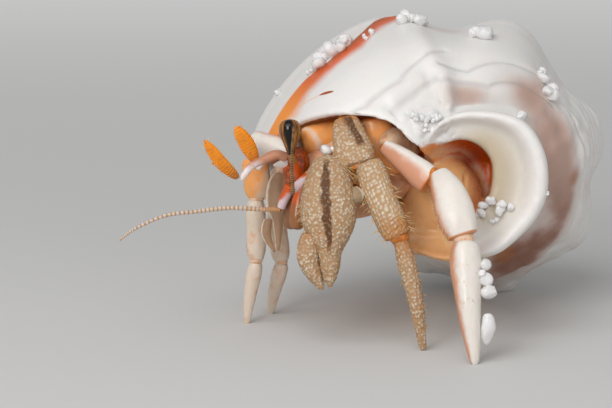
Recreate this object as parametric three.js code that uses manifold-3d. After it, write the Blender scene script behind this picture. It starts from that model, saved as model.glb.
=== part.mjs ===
// A land hermit crab standing in a rapa whelk shell, life size and still.
// Millimetres, +Z up. The shell's foot, where its underside rests on the floor, is the origin.
import * as THREE from "three";
import { mergeVertices } from "three/addons/utils/BufferGeometryUtils.js";
import Module from "manifold-3d";

const wasm = await Module();
wasm.setup();

// ---- Driving dimensions ----

const GAP = 0.25; // left between one sub-part and the next
const SHELL_TILT = 7; // degrees by which the shell's mouth end is raised
const SHELL_TURN = 4; // degrees by which the shell's tip swings to the right
const MOUTH_HEIGHT = 16.4; // of the shell's axis at its mouth end, over the floor
const MOUTH_REACH = 27.5; // from the shell's foot forward to its mouth end
const FOOT_SIDE = 5.3; // from the axis, at its mouth end, to the right to the foot

const SPIRE_DEPTH = 44; // from the mouth end back to the shell's tip, along the axis
const WHORL_GROWTH = 2.5; // each whorl's size over that of the one before it
const KNOB_SPACING = 48.5; // degrees from one blunt knob to the next round the whorls
const KNOB_HEIGHT = 3.1;
const LAST_KNOB = 121.5; // degrees round the axis; from there the whorl flares into the lip
const LIP_FLARE = 1.8; // by which the hollow widens with it

const LIMB_SIDES = 10;
const FEELER_SIDES = 6;
const FEELER_RADIUS = 0.27;

// ---- Frames ----
// Places are given in the shell's own frame: x to the right and y up as seen from its mouth,
// z out along its axis, from the mouth end.

const turn = THREE.MathUtils.degToRad(SHELL_TURN);
const tilt = THREE.MathUtils.degToRad(SHELL_TILT);
const outward = new THREE.Vector3(
  -Math.sin(turn) * Math.cos(tilt),
  -Math.cos(turn) * Math.cos(tilt),
  Math.sin(tilt),
);
const rightward = new THREE.Vector3(Math.cos(turn), -Math.sin(turn), 0);
const upward = new THREE.Vector3().crossVectors(outward, rightward);
const SHELL_FRAME = new THREE.Matrix4()
  .makeBasis(rightward, upward, outward)
  .setPosition(-FOOT_SIDE, -MOUTH_REACH, MOUTH_HEIGHT);

function point([x, y, z]) {
  return new THREE.Vector3(x, y, z).applyMatrix4(SHELL_FRAME);
}

function direction([x, y, z]) {
  return new THREE.Vector3(x, y, z).transformDirection(SHELL_FRAME);
}

// The place on the floor that is x to the right of the axis and z out from the mouth end.
function onFloor(x, z) {
  const level = point([x, 0, z]).z;
  return [x, -(level + GAP) / upward.z, z];
}

// ---- Solids ----

function solidFrom(points, faces) {
  const mesh = new wasm.Mesh({
    numProp: 3,
    vertProperties: new Float32Array(points.flatMap((p) => [p.x, p.y, p.z])),
    triVerts: new Uint32Array(faces.flat()),
  });
  return new wasm.Manifold(mesh);
}

function solidOf(geometry) {
  geometry.deleteAttribute("normal");
  geometry.deleteAttribute("uv");
  const merged = mergeVertices(geometry, 1e-4);
  const places = merged.getAttribute("position");
  const points = [];
  for (let i = 0; i < places.count; i += 1) {
    points.push(new THREE.Vector3().fromBufferAttribute(places, i));
  }
  const faces = [];
  for (let i = 0; i < merged.index.count; i += 3) {
    faces.push([0, 1, 2].map((k) => merged.index.getX(i + k)));
  }
  return solidFrom(points, faces);
}

// The solid, turned right side out.
function facingOut(points, faces) {
  const made = solidFrom(points, faces);
  if (made.volume() > 0) return made;
  return solidFrom(points, faces.map(([a, b, c]) => [a, c, b]));
}

// A closed solid through rings of equal length; cap lists the triangles of the first ring.
function loft(rings, cap) {
  const count = rings[0].length;
  const faces = [];
  const last = (rings.length - 1) * count;
  for (const [a, b, c] of cap) {
    faces.push([c, b, a]);
    faces.push([last + a, last + b, last + c]);
  }
  for (let i = 0; i + 1 < rings.length; i += 1) {
    for (let j = 0; j < count; j += 1) {
      const a = i * count + j;
      const b = i * count + ((j + 1) % count);
      faces.push([a, b, b + count]);
      faces.push([a, b + count, a + count]);
    }
  }
  return facingOut(rings.flat(), faces);
}

function fanCap(count) {
  return Array.from({ length: count - 2 }, (_, i) => [0, i + 1, i + 2]);
}

// Triangles that fill an outline, wound the same way round as the outline itself.
function outlineCap(outline) {
  const contour = outline.map(([x, y]) => new THREE.Vector2(x, y));
  const sense = Math.sign(THREE.ShapeUtils.area(contour));
  return THREE.ShapeUtils.triangulateShape(contour, []).map(([a, b, c]) => {
    const own = THREE.ShapeUtils.area([contour[a], contour[b], contour[c]]);
    return Math.sign(own) === sense ? [a, b, c] : [a, c, b];
  });
}

// A limb piece along a smooth path. Each row of its form is how far along it is, its half width
// and its half depth; facing is the way its broad side looks.
function limb(path, form, { facing = [0, 0, 1], sides = LIMB_SIDES } = {}) {
  return (grow) => {
    const curve = new THREE.CatmullRomCurve3(path.map(point), false, "centripetal");
    const broad = direction(facing);
    const rings = form.map(([along, halfWidth, halfDepth]) => {
      const centre = curve.getPoint(along);
      const ahead = curve.getTangent(along);
      const across = new THREE.Vector3().crossVectors(broad, ahead).normalize();
      const deep = new THREE.Vector3().crossVectors(ahead, across);
      if (along === 0) centre.addScaledVector(ahead, -grow);
      if (along === 1) centre.addScaledVector(ahead, grow);
      return Array.from({ length: sides }, (_, i) => {
        const angle = (2 * Math.PI * i) / sides;
        return centre
          .clone()
          .addScaledVector(across, Math.cos(angle) * (halfWidth + grow))
          .addScaledVector(deep, Math.sin(angle) * (halfDepth + grow));
      });
    });
    return loft(rings, fanCap(sides));
  };
}

function feeler(path, steps) {
  const form = Array.from({ length: steps + 1 }, (_, i) => [i / steps, FEELER_RADIUS, FEELER_RADIUS]);
  return limb(path, form, { sides: FEELER_SIDES });
}

function joined(...shapes) {
  return (grow) => shapes.map((shape) => shape(grow)).reduce((all, one) => all.add(one));
}

// ---- The shell ----

// The last whorl's outline at its full size: height from the shell's tip, radius from the axis,
// where the lip ends in degrees round the axis, and its share of the knobs.
const WHORL_OUTLINE = [
  [50.2, 8.0, 137, 0],
  [50.6, 10.0, 137, 0],
  [50.0, 12.6, 137, 0],
  [47.8, 17.1, 147, 0.1],
  [43.5, 20.6, 157.5, 0.2],
  [36.0, 22.7, 168, 0.5],
  [30.0, 23.5, 175, 0.8],
  [27.0, 23.6, 177, 1],
  [24.6, 22.4, 178, 0.7],
  [20.6, 19.4, 179, 0.15],
  [16.4, 15.6, 180, 0],
  [12.6, 10.6, 181, 0],
];
// The hollow inside that whorl: height, radius and its share of the lip's flare.
const HOLLOW_OUTLINE = [
  [49.2, 8.2, 0],
  [48.8, 12.0, 0],
  [46.6, 16.0, 0.1],
  [42.2, 19.2, 0.4],
  [35.4, 21.2, 0.8],
  [29.0, 21.9, 1],
  [25.2, 20.8, 1],
  [21.6, 17.0, 0.3],
  [19.6, 12.4, 0],
  [22.0, 9.4, 0],
  [28.0, 7.6, 0],
  [38.0, 6.8, 0],
  [46.0, 6.8, 0],
];
const SECTION_MIDDLE = [33, 14]; // height and radius
// The whorls from the lip back to the tip, in stretches that lap over each other by 2 to 5
// degrees: their ends in degrees, their facets, and their front and back on the axis.
const STRETCHES = [
  { from: -24, to: "lip", steps: 18, front: 30, back: 15 },
  { from: -194, to: -22, steps: 18, front: 18, back: 9 },
  { from: -375, to: -192, steps: 11, front: 11, back: 4 },
  { from: -555, to: -371, steps: 10, front: 7, back: 2.2 },
  { from: -735, to: -550, steps: 8, front: 4, back: 1 },
];
const TIP_HEIGHT = 2.2;
const TIP_RADII = [1.5, 1.5, 1.6];
const HOLLOW_START = -20; // degrees round the axis, deep inside
const HOLLOW_END = 250; // degrees, well past the lip
const HOLLOW_STEPS = 18;
const LIP_DROP = 0.45; // share of a knob's height that the shoulder loses at the lip
const DROP_STRETCH = [163, 181]; // degrees
const FLARE_STRETCH = [LAST_KNOB - 20, LAST_KNOB + 30]; // degrees over which the flare grows

function whorlScale(degrees) {
  return WHORL_GROWTH ** ((degrees - 180) / 360);
}

function onShell(degrees, height, radius) {
  const angle = THREE.MathUtils.degToRad(degrees);
  return point([radius * Math.cos(angle), radius * Math.sin(angle), height - SPIRE_DEPTH]);
}

// How much of a knob's height the whorl has at this place round the axis.
function knobShare(degrees) {
  if (degrees > LAST_KNOB) return 1 - LIP_DROP * THREE.MathUtils.smoothstep(degrees, ...DROP_STRETCH);
  return Math.cos((Math.PI * (degrees - LAST_KNOB)) / KNOB_SPACING) ** 2;
}

// A place on a whorl's outline, moved out from the middle of its section.
function movedOut([height, radius], distance) {
  const out = new THREE.Vector2(height - SECTION_MIDDLE[0], radius - SECTION_MIDDLE[1]);
  out.setLength(out.length() + distance);
  return [SECTION_MIDDLE[0] + out.x, SECTION_MIDDLE[1] + out.y];
}

function whorlPoint(degrees, row, grow) {
  const scale = whorlScale(degrees);
  const [height, radius] = movedOut(row, grow / scale);
  const knob = KNOB_HEIGHT * row[3] * knobShare(degrees);
  return onShell(degrees, height * scale, (radius + knob) * scale);
}

// A stretch of whorl, solid to the axis between two heights on it, its front and its back.
function whorlStretch({ from, to, steps, front, back }, grow) {
  const count = WHORL_OUTLINE.length;
  const points = [];
  for (let i = 0; i <= steps; i += 1) {
    for (const row of WHORL_OUTLINE) {
      const end = to === "lip" ? row[2] + THREE.MathUtils.radToDeg(grow / row[1]) : to;
      points.push(whorlPoint(from + ((end - from) * i) / steps, row, grow));
    }
  }
  const frontPoint = points.push(onShell(0, front, 0)) - 1;
  const backPoint = points.push(onShell(0, back, 0)) - 1;
  const faces = [];
  for (let i = 0; i < steps; i += 1) {
    const a = i * count;
    for (let j = a; j + 1 < a + count; j += 1) {
      faces.push([j, j + 1, j + 1 + count]);
      faces.push([j, j + 1 + count, j + count]);
    }
    faces.push([frontPoint, a, a + count]);
    faces.push([backPoint, a + 2 * count - 1, a + count - 1]);
  }
  const scale = whorlScale(from);
  const section = WHORL_OUTLINE.map(([height, radius]) => [height, radius]);
  section.push([back / scale, 0], [front / scale, 0]);
  const ringOf = (ring) => [...WHORL_OUTLINE.keys()].map((j) => j + ring * count);
  const first = [...ringOf(0), backPoint, frontPoint];
  const last = [...ringOf(steps), backPoint, frontPoint];
  for (const [a, b, c] of outlineCap(section)) {
    faces.push([first[c], first[b], first[a]]);
    faces.push([last[a], last[b], last[c]]);
  }
  return facingOut(points, faces);
}

function hollow(grow) {
  const rings = Array.from({ length: HOLLOW_STEPS + 1 }, (_, i) => {
    const degrees = HOLLOW_START + ((HOLLOW_END - HOLLOW_START) * i) / HOLLOW_STEPS;
    const scale = whorlScale(degrees);
    const flare = LIP_FLARE * THREE.MathUtils.smoothstep(degrees, ...FLARE_STRETCH);
    return HOLLOW_OUTLINE.map((row) => {
      const [height, radius] = movedOut(row, -grow / scale);
      return onShell(degrees, height * scale, (radius + flare * row[2]) * scale);
    });
  });
  return loft(rings, outlineCap(HOLLOW_OUTLINE));
}

// The flared porcelain rim round the front canal: its inner and outer edges across the mouth end.
const RIM_INNER = [
  [-4.8, 4.5],
  [-2.8, 5.4],
  [-0.5, 6.1],
  [1.6, 5.4],
  [2.9, 3.8],
  [3.1, 2.0],
  [2.8, 0],
  [1.7, -2.2],
  [-0.6, -3.8],
  [-3.8, -4.6],
  [-7.4, -4.2],
];
const RIM_OUTER = [
  [-4.6, 5.4],
  [-2.6, 8.3],
  [1.1, 9.3],
  [6.0, 8.4],
  [8.5, 5.2],
  [9.1, 1.1],
  [8.0, -2.3],
  [5.3, -5.3],
  [2.8, -6.8],
  [-2.2, -7.4],
  [-7.7, -5.5],
];
// Across the rim: share of the way from the inner to the outer curve, and how far back it lies.
const RIM_OUTLINE = [
  [0, -10],
  [-0.02, -2.4],
  [0.12, -1.5],
  [0.55, -1.7],
  [0.8, -0.4],
  [0.93, -0.1],
  [1, -0.9],
  [0.86, -3.2],
  [0.5, -6.5],
  [0.3, -11],
];
const RIM_STEPS = 20;
const RIM_FRONT = -2; // what lies further out than this faces forward

function rimCurve(places) {
  return new THREE.SplineCurve(places.map(([x, y]) => new THREE.Vector2(x, y)));
}

function rim(grow) {
  const inner = rimCurve(RIM_INNER);
  const outer = rimCurve(RIM_OUTER);
  const rings = Array.from({ length: RIM_STEPS + 1 }, (_, i) => {
    const a = inner.getPoint(i / RIM_STEPS);
    const b = outer.getPoint(i / RIM_STEPS);
    const width = a.distanceTo(b);
    return RIM_OUTLINE.map(([share, back]) => {
      const grown = share + ((share > 0.5 ? 1 : -1) * grow) / width;
      const place = a.clone().lerp(b, grown);
      return point([place.x, place.y, back > RIM_FRONT ? back + grow : back]);
    });
  });
  return loft(rings, outlineCap(RIM_OUTLINE));
}

function ball(centre, radii, grow) {
  const geometry = new THREE.SphereGeometry(1, 14, 9)
    .scale(...radii.map((radius) => radius + grow))
    .translate(...centre)
    .applyMatrix4(SHELL_FRAME);
  return solidOf(geometry);
}

const COLUMELLA_CENTRE = [-2.7, -1.1, -7.5];
const COLUMELLA_RADII = [4.6, 5.4, 6.6];

// The solid pillar round which the whorls turn.
const PILLAR_PATH = [
  [0, 0, -41],
  [0, 0, -35],
  [0, 0, -29],
  [0.6, 0.4, -19],
  [1.2, 0.6, -9.5],
];
const PILLAR_FORM = [
  [0, 1.3, 1.3],
  [0.25, 3.6, 3.6],
  [0.5, 5.2, 5.2],
  [0.75, 5.6, 5.6],
  [1, 5.2, 5.2],
];

function pillar(grow) {
  return limb(PILLAR_PATH, PILLAR_FORM, { facing: [0, 1, 0], sides: 12 })(grow);
}

function shell(grow) {
  const tip = ball([0, 0, TIP_HEIGHT - SPIRE_DEPTH], TIP_RADII, grow);
  const turns = STRETCHES.map((stretch) => whorlStretch(stretch, grow));
  const whole = turns.reduce((all, one) => all.add(one)).add(tip);
  const front = rim(grow).add(ball(COLUMELLA_CENTRE, COLUMELLA_RADII, grow)).add(pillar(grow));
  return whole.subtract(hollow(grow)).add(front);
}

// ---- The crab ----

// Names and shapes in the order in which they keep their room: each later one is cut back from
// those before it.
const parts = [];

function part(name, shape, colour, roughness = 0.6) {
  parts.push({ name, shape, colour, roughness });
}

const WHITE = 0xe7e5e4;
const SAND = 0xc8b493;
const PEACH = 0xd9956a;
const ORANGE = 0xd9772f;
const PALE = 0xe6dccf;
const DARK = 0x2a1a10;

// Forms that several pieces share: how far along, half width and half depth.
function segment(wide, deep, ends = 0.7) {
  return [
    [0, wide * ends, deep * ends],
    [0.12, wide * 0.93, deep * 0.93],
    [0.5, wide, deep],
    [0.86, wide * 0.95, deep * 0.95],
    [1, wide * ends, deep * ends],
  ];
}

function toe(wide, deep) {
  return [
    [0, wide * 0.75, deep * 0.75],
    [0.12, wide, deep],
    [0.45, wide * 0.9, deep * 0.9],
    [0.8, wide * 0.62, deep * 0.62],
    [1, 0.32, 0.32],
  ];
}

function tapered(wide) {
  return [
    [0, wide, wide],
    [0.5, wide * 0.9, wide * 0.9],
    [1, wide * 0.73, wide * 0.73],
  ];
}

const STALK = tapered(0.62);
const STEM = tapered(0.52);
const CLAW_FINGER = [
  [0, 1.1, 1.2],
  [0.25, 1.25, 1.25],
  [0.7, 0.95, 1.0],
  [1, 0.3, 0.35],
];

part("shell", shell, WHITE, 0.3);

// Eyes on short stalks.
function eye(top, bottom) {
  const form = [
    [0, 0.35, 0.35],
    [0.25, 0.66, 0.66],
    [0.5, 1.05, 1.05],
    [0.72, 1.24, 1.24],
    [0.88, 1.05, 1.05],
    [0.97, 0.62, 0.62],
    [1, 0.25, 0.25],
  ];
  return limb([bottom, top], form);
}

part("eye_left", eye([-19.3, 8.2, 1.9], [-19.05, 4.2, 2.1]), DARK, 0.1);
part("eye_right", eye([-19.4, 7.5, -1.8], [-19.3, 4.6, -1.6]), DARK, 0.1);
part("eyestalk_left", limb([[-18.3, 1.9, 0.5], [-19.0, 4.0, 2.0]], STALK), ORANGE);
part("eyestalk_right", limb([[-17.9, 1.8, -2.0], [-19.1, 4.3, -1.6]], STALK), ORANGE);

// Left claw, held upright before the mouth like a door.
const LEFT_PALM_PATH = [
  [-14.9, 4.3, 0.9],
  [-14.95, 0.2, 2.6],
  [-14.7, -4.6, 3.1],
  [-14.6, -10.2, 3.4],
];
const LEFT_PALM = [
  [0, 0.8, 0.7],
  [0.08, 1.7, 1.3],
  [0.25, 2.6, 2.0],
  [0.42, 3.0, 2.25],
  [0.58, 2.85, 2.1],
  [0.68, 2.1, 1.8],
  [0.76, 1.35, 1.4],
  [0.88, 1.0, 1.05],
  [1, 0.3, 0.4],
];
const LEFT_FINGER_PATH = [
  [-16.6, -4.2, 3.1],
  [-17.0, -7.0, 3.4],
  [-15.4, -10.4, 3.5],
];
part("cheliped_left_palm", limb(LEFT_PALM_PATH, LEFT_PALM), SAND, 0.75);
part("cheliped_left_finger", limb(LEFT_FINGER_PATH, CLAW_FINGER), SAND, 0.75);

// Left walking legs, from the knee down.
const LEG2_CARPUS = [
  [0, 1.0, 0.8],
  [0.15, 1.55, 1.2],
  [0.45, 1.9, 1.35],
  [0.8, 2.0, 1.35],
  [1, 1.3, 0.9],
];
const LEG3_CARPUS = [
  [0, 0.7, 0.7],
  [0.2, 1.0, 0.95],
  [0.6, 1.35, 1.15],
  [0.9, 1.45, 1.15],
  [1, 1.1, 0.85],
];
const LEG3_PROPODUS = [
  [0, 0.8, 0.7],
  [0.15, 1.45, 1.15],
  [0.45, 2.05, 1.4],
  [0.85, 1.9, 1.35],
  [1, 1.2, 1.0],
];
const LEG3_DACTYL = [
  [0, 0.9, 0.85],
  [0.1, 1.45, 1.2],
  [0.2, 1.6, 1.3],
  [0.5, 1.4, 1.05],
  [0.8, 1.0, 0.85],
  [0.94, 0.62, 0.6],
  [1, 0.35, 0.35],
];
const LEG2_KNEE = [[-13.3, 8.2, -1.3], [-12.6, 5.6, 0.3], [-11.8, 3.0, 1.6]];
const LEG2_SHIN = [[-10.6, 3.3, 1.6], [-9.1, -0.4, 2.8], [-7.3, -4.3, 3.2]];
const LEG2_TOE = [[-6.9, -4.9, 3.3], [-5.3, -10.9, 4.0], onFloor(-4.3, 2.9)];
const LEG3_KNEE = [[-8.7, 5.1, -0.3], [-6.5, 3.6, 1.0], [-3.9, 1.6, 2.2]];
const LEG3_SHIN = [[-2.8, 2.4, 3.1], [-1.7, 0.2, 4.8], [-0.9, -2.1, 5.7], [-0.2, -4.1, 6.2]];
const LEG3_TOE = [[0.1, -4.7, 6.4], [0.25, -8.0, 7.2], [0.6, -12.0, 8.1], onFloor(1.3, 8.9)];
part("leg2_left_carpus", limb(LEG2_KNEE, LEG2_CARPUS), SAND, 0.75);
part("leg2_left_propodus", limb(LEG2_SHIN, segment(1.6, 1.2)), SAND, 0.75);
part("leg2_left_dactyl", limb(LEG2_TOE, toe(0.95, 0.85)), SAND, 0.7);
part("leg3_left_carpus", limb(LEG3_KNEE, LEG3_CARPUS), PALE, 0.5);
part("leg3_left_propodus", limb(LEG3_SHIN, LEG3_PROPODUS), PALE, 0.5);
part("leg3_left_dactyl", limb(LEG3_TOE, LEG3_DACTYL), PALE, 0.5);

// The upper pieces of the left limbs, mostly inside the shell's mouth.
const LEG2_THIGH = [[-8.6, 1.8, -5.2], [-9.6, 5.0, -4.3], [-10.5, 8.2, -3.8]];
const LEG3_THIGH = [[-4.9, 4.2, -5.4], [-6.6, 5.9, -3.6], [-8.5, 7.2, -2.0]];
part("leg2_left_merus", limb(LEG2_THIGH, segment(1.6, 1.3, 0.6)), PEACH);
part("leg3_left_merus", limb(LEG3_THIGH, segment(1.25, 1.1, 0.65)), SAND);
part("cheliped_left_carpus", limb([[-12.6, 3.4, -1.9], [-14.4, 4.6, -0.9]], segment(1.5, 1.3)), SAND);
part("cheliped_left_merus", limb([[-11.4, 0.6, -4.2], [-12.4, 3.0, -2.9]], segment(1.4, 1.3)), PEACH);

// Antennae: a short stem and a long whip.
const LEFT_STEM = [[-16.2, 2.2, 1.0], [-17.6, 1.5, 2.5], [-18.6, 0.5, 3.8]];
const LEFT_WHIP = [
  [-18.8, 0.7, 4.2],
  [-18.9, 2.6, 5.8],
  [-18.8, 4.6, 9],
  [-18.5, 6.6, 14],
  [-18, 8.4, 20],
];
const RIGHT_STEM = [[-19.1, 0.7, -0.7], [-19.9, -0.8, -0.6], [-20.2, -1.8, -0.6]];
const RIGHT_WHIP = [
  [-20.6, -2.0, -0.6],
  [-22.5, -1.95, -0.9],
  [-26.1, -1.9, -1.1],
  [-30.5, -2.3, -0.8],
  [-34.8, -3.4, 0.6],
  [-38.1, -5.6, 1.9],
];
part("antenna_left_peduncle", limb(LEFT_STEM, STALK), ORANGE);
part("antenna_left_flagellum", feeler(LEFT_WHIP, 10), ORANGE);
part("antenna_right_peduncle", limb(RIGHT_STEM, STALK), ORANGE);
part("antenna_right_flagellum", feeler(RIGHT_WHIP, 14), ORANGE);

// Antennules: a bent stem that ends in a blade, the left one with its small side whip in view.
const BLADE = [
  [0, 0.4, 0.3],
  [0.2, 0.58, 0.3],
  [0.6, 0.64, 0.3],
  [0.88, 0.5, 0.3],
  [1, 0.26, 0.26],
];
const LEFT_BLADE = [[-24.8, 1.7, 2.8], [-26.4, 3.2, 3.7], [-28.4, 5.9, 4.6]];
const RIGHT_BLADE = [[-23.3, 3.2, -2.6], [-24.3, 5.2, -2.2], [-25.6, 7.3, -1.6]];
const LEFT_BENT_STEM = [
  [-19.8, 3.9, 0.4],
  [-20.6, 4.2, 0.8],
  [-22.0, 3.7, 1.2],
  [-23.4, 3.0, 1.8],
  [-24.5, 1.6, 2.4],
];
const RIGHT_BENT_STEM = [[-20.1, 3.9, -2.6], [-21.0, 4.2, -2.6], [-22.2, 3.8, -2.6], [-23.1, 2.6, -2.6]];
const sideWhip = feeler([[-25.6, 2.9, 3.3], [-27.7, 3.3, 3.9]], 1);
part("antennule_left_peduncle", limb(LEFT_BENT_STEM, STEM), PEACH);
part("antennule_left_flagellum", joined(limb(LEFT_BLADE, BLADE), sideWhip), ORANGE);
part("antennule_right_peduncle", limb(RIGHT_BENT_STEM, STEM), PEACH);
part("antennule_right_flagellum", limb(RIGHT_BLADE, BLADE), ORANGE);

// Outer mouth limbs, which hang in front of the mouth.
const LEFT_MOUTH_LIMB = [[-17.6, 0.7, 0.4], [-18.3, -1.6, 1.0], [-18.4, -3.8, 1.2]];
const RIGHT_MOUTH_LIMB = [[-18.5, 0.4, -2.8], [-19.2, -1.8, -2.6], [-19.4, -4.0, -2.6]];
part("maxilliped_left", limb(LEFT_MOUTH_LIMB, segment(0.75, 0.7)), ORANGE);
part("maxilliped_right", limb(RIGHT_MOUTH_LIMB, segment(0.75, 0.7)), ORANGE);

// Right claw, the smaller one.
const RIGHT_PALM_PATH = [[-20.9, 2.0, -5.7], [-21.1, -0.6, -5.2], [-20.9, -3.2, -4.9], [-20.9, -6.8, -4.4]];
const RIGHT_PALM = [
  [0, 0.6, 0.5],
  [0.12, 1.1, 0.9],
  [0.35, 1.35, 1.15],
  [0.55, 1.25, 1.05],
  [0.7, 0.8, 0.8],
  [1, 0.25, 0.25],
];
const RIGHT_FINGER_PATH = [[-22.0, -3.2, -4.9], [-22.2, -4.8, -4.7], [-21.3, -6.9, -4.3]];
const RIGHT_FINGER = [
  [0, 0.6, 0.7],
  [0.4, 0.7, 0.7],
  [1, 0.25, 0.25],
];
const SMALL_THIGH = segment(1.1, 1.1);
part("cheliped_right_palm", limb(RIGHT_PALM_PATH, RIGHT_PALM), SAND);
part("cheliped_right_finger", limb(RIGHT_FINGER_PATH, RIGHT_FINGER), SAND);
part("cheliped_right_carpus", limb([[-18.8, 3.0, -6.3], [-20.4, 2.8, -6.3]], SMALL_THIGH), PEACH);
part("cheliped_right_merus", limb([[-16.6, 0.6, -5.6], [-18.2, 2.2, -6.2]], SMALL_THIGH), PEACH);

// The two right walking legs, on the far side.
const RIGHT_LEGS = [
  {
    name: "leg2_right",
    kneeWidth: 1.5,
    knee: [[-24.1, 3.4, -7.8], [-23.7, 1.6, -7.8], [-23.6, -0.8, -7.7]],
    shin: [[-23.8, -1.4, -7.7], [-23.7, -7.9, -7.6]],
    toe: [[-23.7, -8.5, -7.6], [-24.4, -12, -8.2], onFloor(-24.9, -9)],
    thigh: [[-18.4, 3.4, -6.2], [-20.8, 4.7, -6.5], [-23.0, 5.0, -7.2], [-24.4, 5.2, -7.6]],
  },
  {
    name: "leg3_right",
    kneeWidth: 1.15,
    knee: [[-20.8, 2.4, -11.8], [-21.8, 0.2, -12.1], [-21.9, -2.2, -12.3]],
    shin: [[-21.9, -2.7, -12.3], [-21.2, -8.3, -12.1]],
    toe: [[-21.1, -8.9, -12.1], [-22.0, -12, -13.2], onFloor(-22.6, -14.2)],
    thigh: [[-15.8, 0.4, -10.4], [-18.4, 2.0, -11.3], [-20.3, 2.6, -11.7]],
  },
];
for (const leg of RIGHT_LEGS) {
  part(`${leg.name}_carpus`, limb(leg.knee, segment(leg.kneeWidth, 1.0)), PEACH);
  part(`${leg.name}_propodus`, limb(leg.shin, segment(1.1, 0.95)), PALE);
  part(`${leg.name}_dactyl`, limb(leg.toe, toe(0.85, 0.75)), PALE);
  part(`${leg.name}_merus`, limb(leg.thigh, segment(1.15, 1.05)), PEACH);
}

// The front body, and the soft hind body coiled behind it in the shell's last whorl.
const SHIELD = [
  [0, 0.9, 0.9],
  [0.15, 1.7, 1.6],
  [0.5, 2.3, 1.95],
  [0.85, 2.3, 1.8],
  [1, 1.6, 1.1],
];
const THORAX_PATH = [
  [-17.4, 0.9, -1.9],
  [-14.2, 0.9, -5],
  [-12.0, 2.8, -9.0],
  [-8.5, 8.0, -12.6],
  [-3, 10.6, -15.2],
];
const THORAX = [
  [0, 1.2, 1.2],
  [0.1, 1.9, 1.8],
  [0.3, 2.9, 2.6],
  [0.55, 3.4, 3.2],
  [0.8, 3.4, 3.4],
  [1, 2.2, 2.2],
];
const SHIELD_PATH = [[-18.5, 5.2, -3.6], [-16.2, 5.8, -4.4], [-13.2, 6.6, -6.6]];
part("carapace_shield", limb(SHIELD_PATH, SHIELD, { facing: [-0.5, 1, 0.3] }), PEACH, 0.4);
part("thorax", limb(THORAX_PATH, THORAX, { facing: [0, 1, 0] }), PEACH, 0.5);

const ABDOMEN_FRONT = 118; // degrees round the axis
const ABDOMEN_TIP = -12;
const ABDOMEN_MIDDLE = [34.5, 14.2]; // height and radius in the last whorl's section
const ABDOMEN_HALF = [12.4, 6.2]; // half its height and half its radial width there
const ABDOMEN_FULLNESS = [0.6, 0.88, 0.98, 1, 1, 0.97, 0.92, 0.8, 0.5]; // from front to tip
const ABDOMEN_SIDES = 10;

function abdomen(grow) {
  const steps = ABDOMEN_FULLNESS.length - 1;
  const rings = ABDOMEN_FULLNESS.map((fullness, i) => {
    const degrees = ABDOMEN_FRONT + ((ABDOMEN_TIP - ABDOMEN_FRONT) * i) / steps;
    const scale = whorlScale(degrees);
    return Array.from({ length: ABDOMEN_SIDES }, (_, side) => {
      const angle = (2 * Math.PI * side) / ABDOMEN_SIDES;
      const [tall, wide] = ABDOMEN_HALF.map((half) => half * fullness * scale + grow);
      const height = ABDOMEN_MIDDLE[0] * scale + Math.cos(angle) * tall;
      const radius = ABDOMEN_MIDDLE[1] * scale + Math.sin(angle) * wide;
      return onShell(degrees, height, radius);
    });
  });
  return loft(rings, fanCap(ABDOMEN_SIDES));
}

part("abdomen", abdomen, PEACH, 0.5);

// ---- Settling the parts ----

function boxesMeet(a, b) {
  const first = a.boundingBox();
  const second = b.boundingBox();
  return [0, 1, 2].every((k) => first.min[k] < second.max[k] && second.min[k] < first.max[k]);
}

function largestBody(solid) {
  return solid.decompose().reduce((best, body) => (body.volume() > best.volume() ? body : best));
}

const FLOOR_SIZE = [200, 200, 20]; // larger than the crab
const underFloor = solidOf(new THREE.BoxGeometry(...FLOOR_SIZE).translate(0, 0, -FLOOR_SIZE[2] / 2));
const crab = new THREE.Group();
crab.name = "hermit_crab";
const settled = [];
for (const { name, shape, colour, roughness } of parts) {
  let solid = shape(0).subtract(underFloor);
  for (const room of settled) {
    if (boxesMeet(solid, room)) solid = solid.subtract(room);
  }
  settled.push(shape(GAP));
  const { vertProperties, triVerts, numProp } = largestBody(solid).getMesh();
  const geometry = new THREE.BufferGeometry();
  geometry.setAttribute(
    "position",
    new THREE.InterleavedBufferAttribute(new THREE.InterleavedBuffer(vertProperties, numProp), 3, 0),
  );
  geometry.setIndex(new THREE.BufferAttribute(triVerts, 1));
  const mesh = new THREE.Mesh(
    geometry,
    new THREE.MeshStandardMaterial({ color: colour, roughness, metalness: 0 }),
  );
  mesh.name = name;
  crab.add(mesh);
}

export default crab;
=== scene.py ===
"""The looks of a land hermit crab in a rapa whelk shell, life size and still.

Places on the crab and its shell are given in millimetres in the shell's own frame: x to the
right and y up as seen from its mouth, z out along its axis, from the mouth end.
"""

import math

import bpy
import numpy as np
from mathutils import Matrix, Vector, noise


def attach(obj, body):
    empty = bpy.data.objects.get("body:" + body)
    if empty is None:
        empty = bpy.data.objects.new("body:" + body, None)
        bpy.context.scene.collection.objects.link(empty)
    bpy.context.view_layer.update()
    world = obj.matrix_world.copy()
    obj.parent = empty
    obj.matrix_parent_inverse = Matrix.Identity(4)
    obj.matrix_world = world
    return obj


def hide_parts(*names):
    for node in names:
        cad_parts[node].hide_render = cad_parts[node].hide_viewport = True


bl_info = {
    "name": "Hermit Crab",
    "version": (1, 0, 0),
    "blender": (4, 5, 0),
    "location": "3D View > Sidebar > Hermit Crab",
    "description": "Models a hermit crab in its whelk shell round the packed frame",
    "category": "Add Mesh",
}

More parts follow.
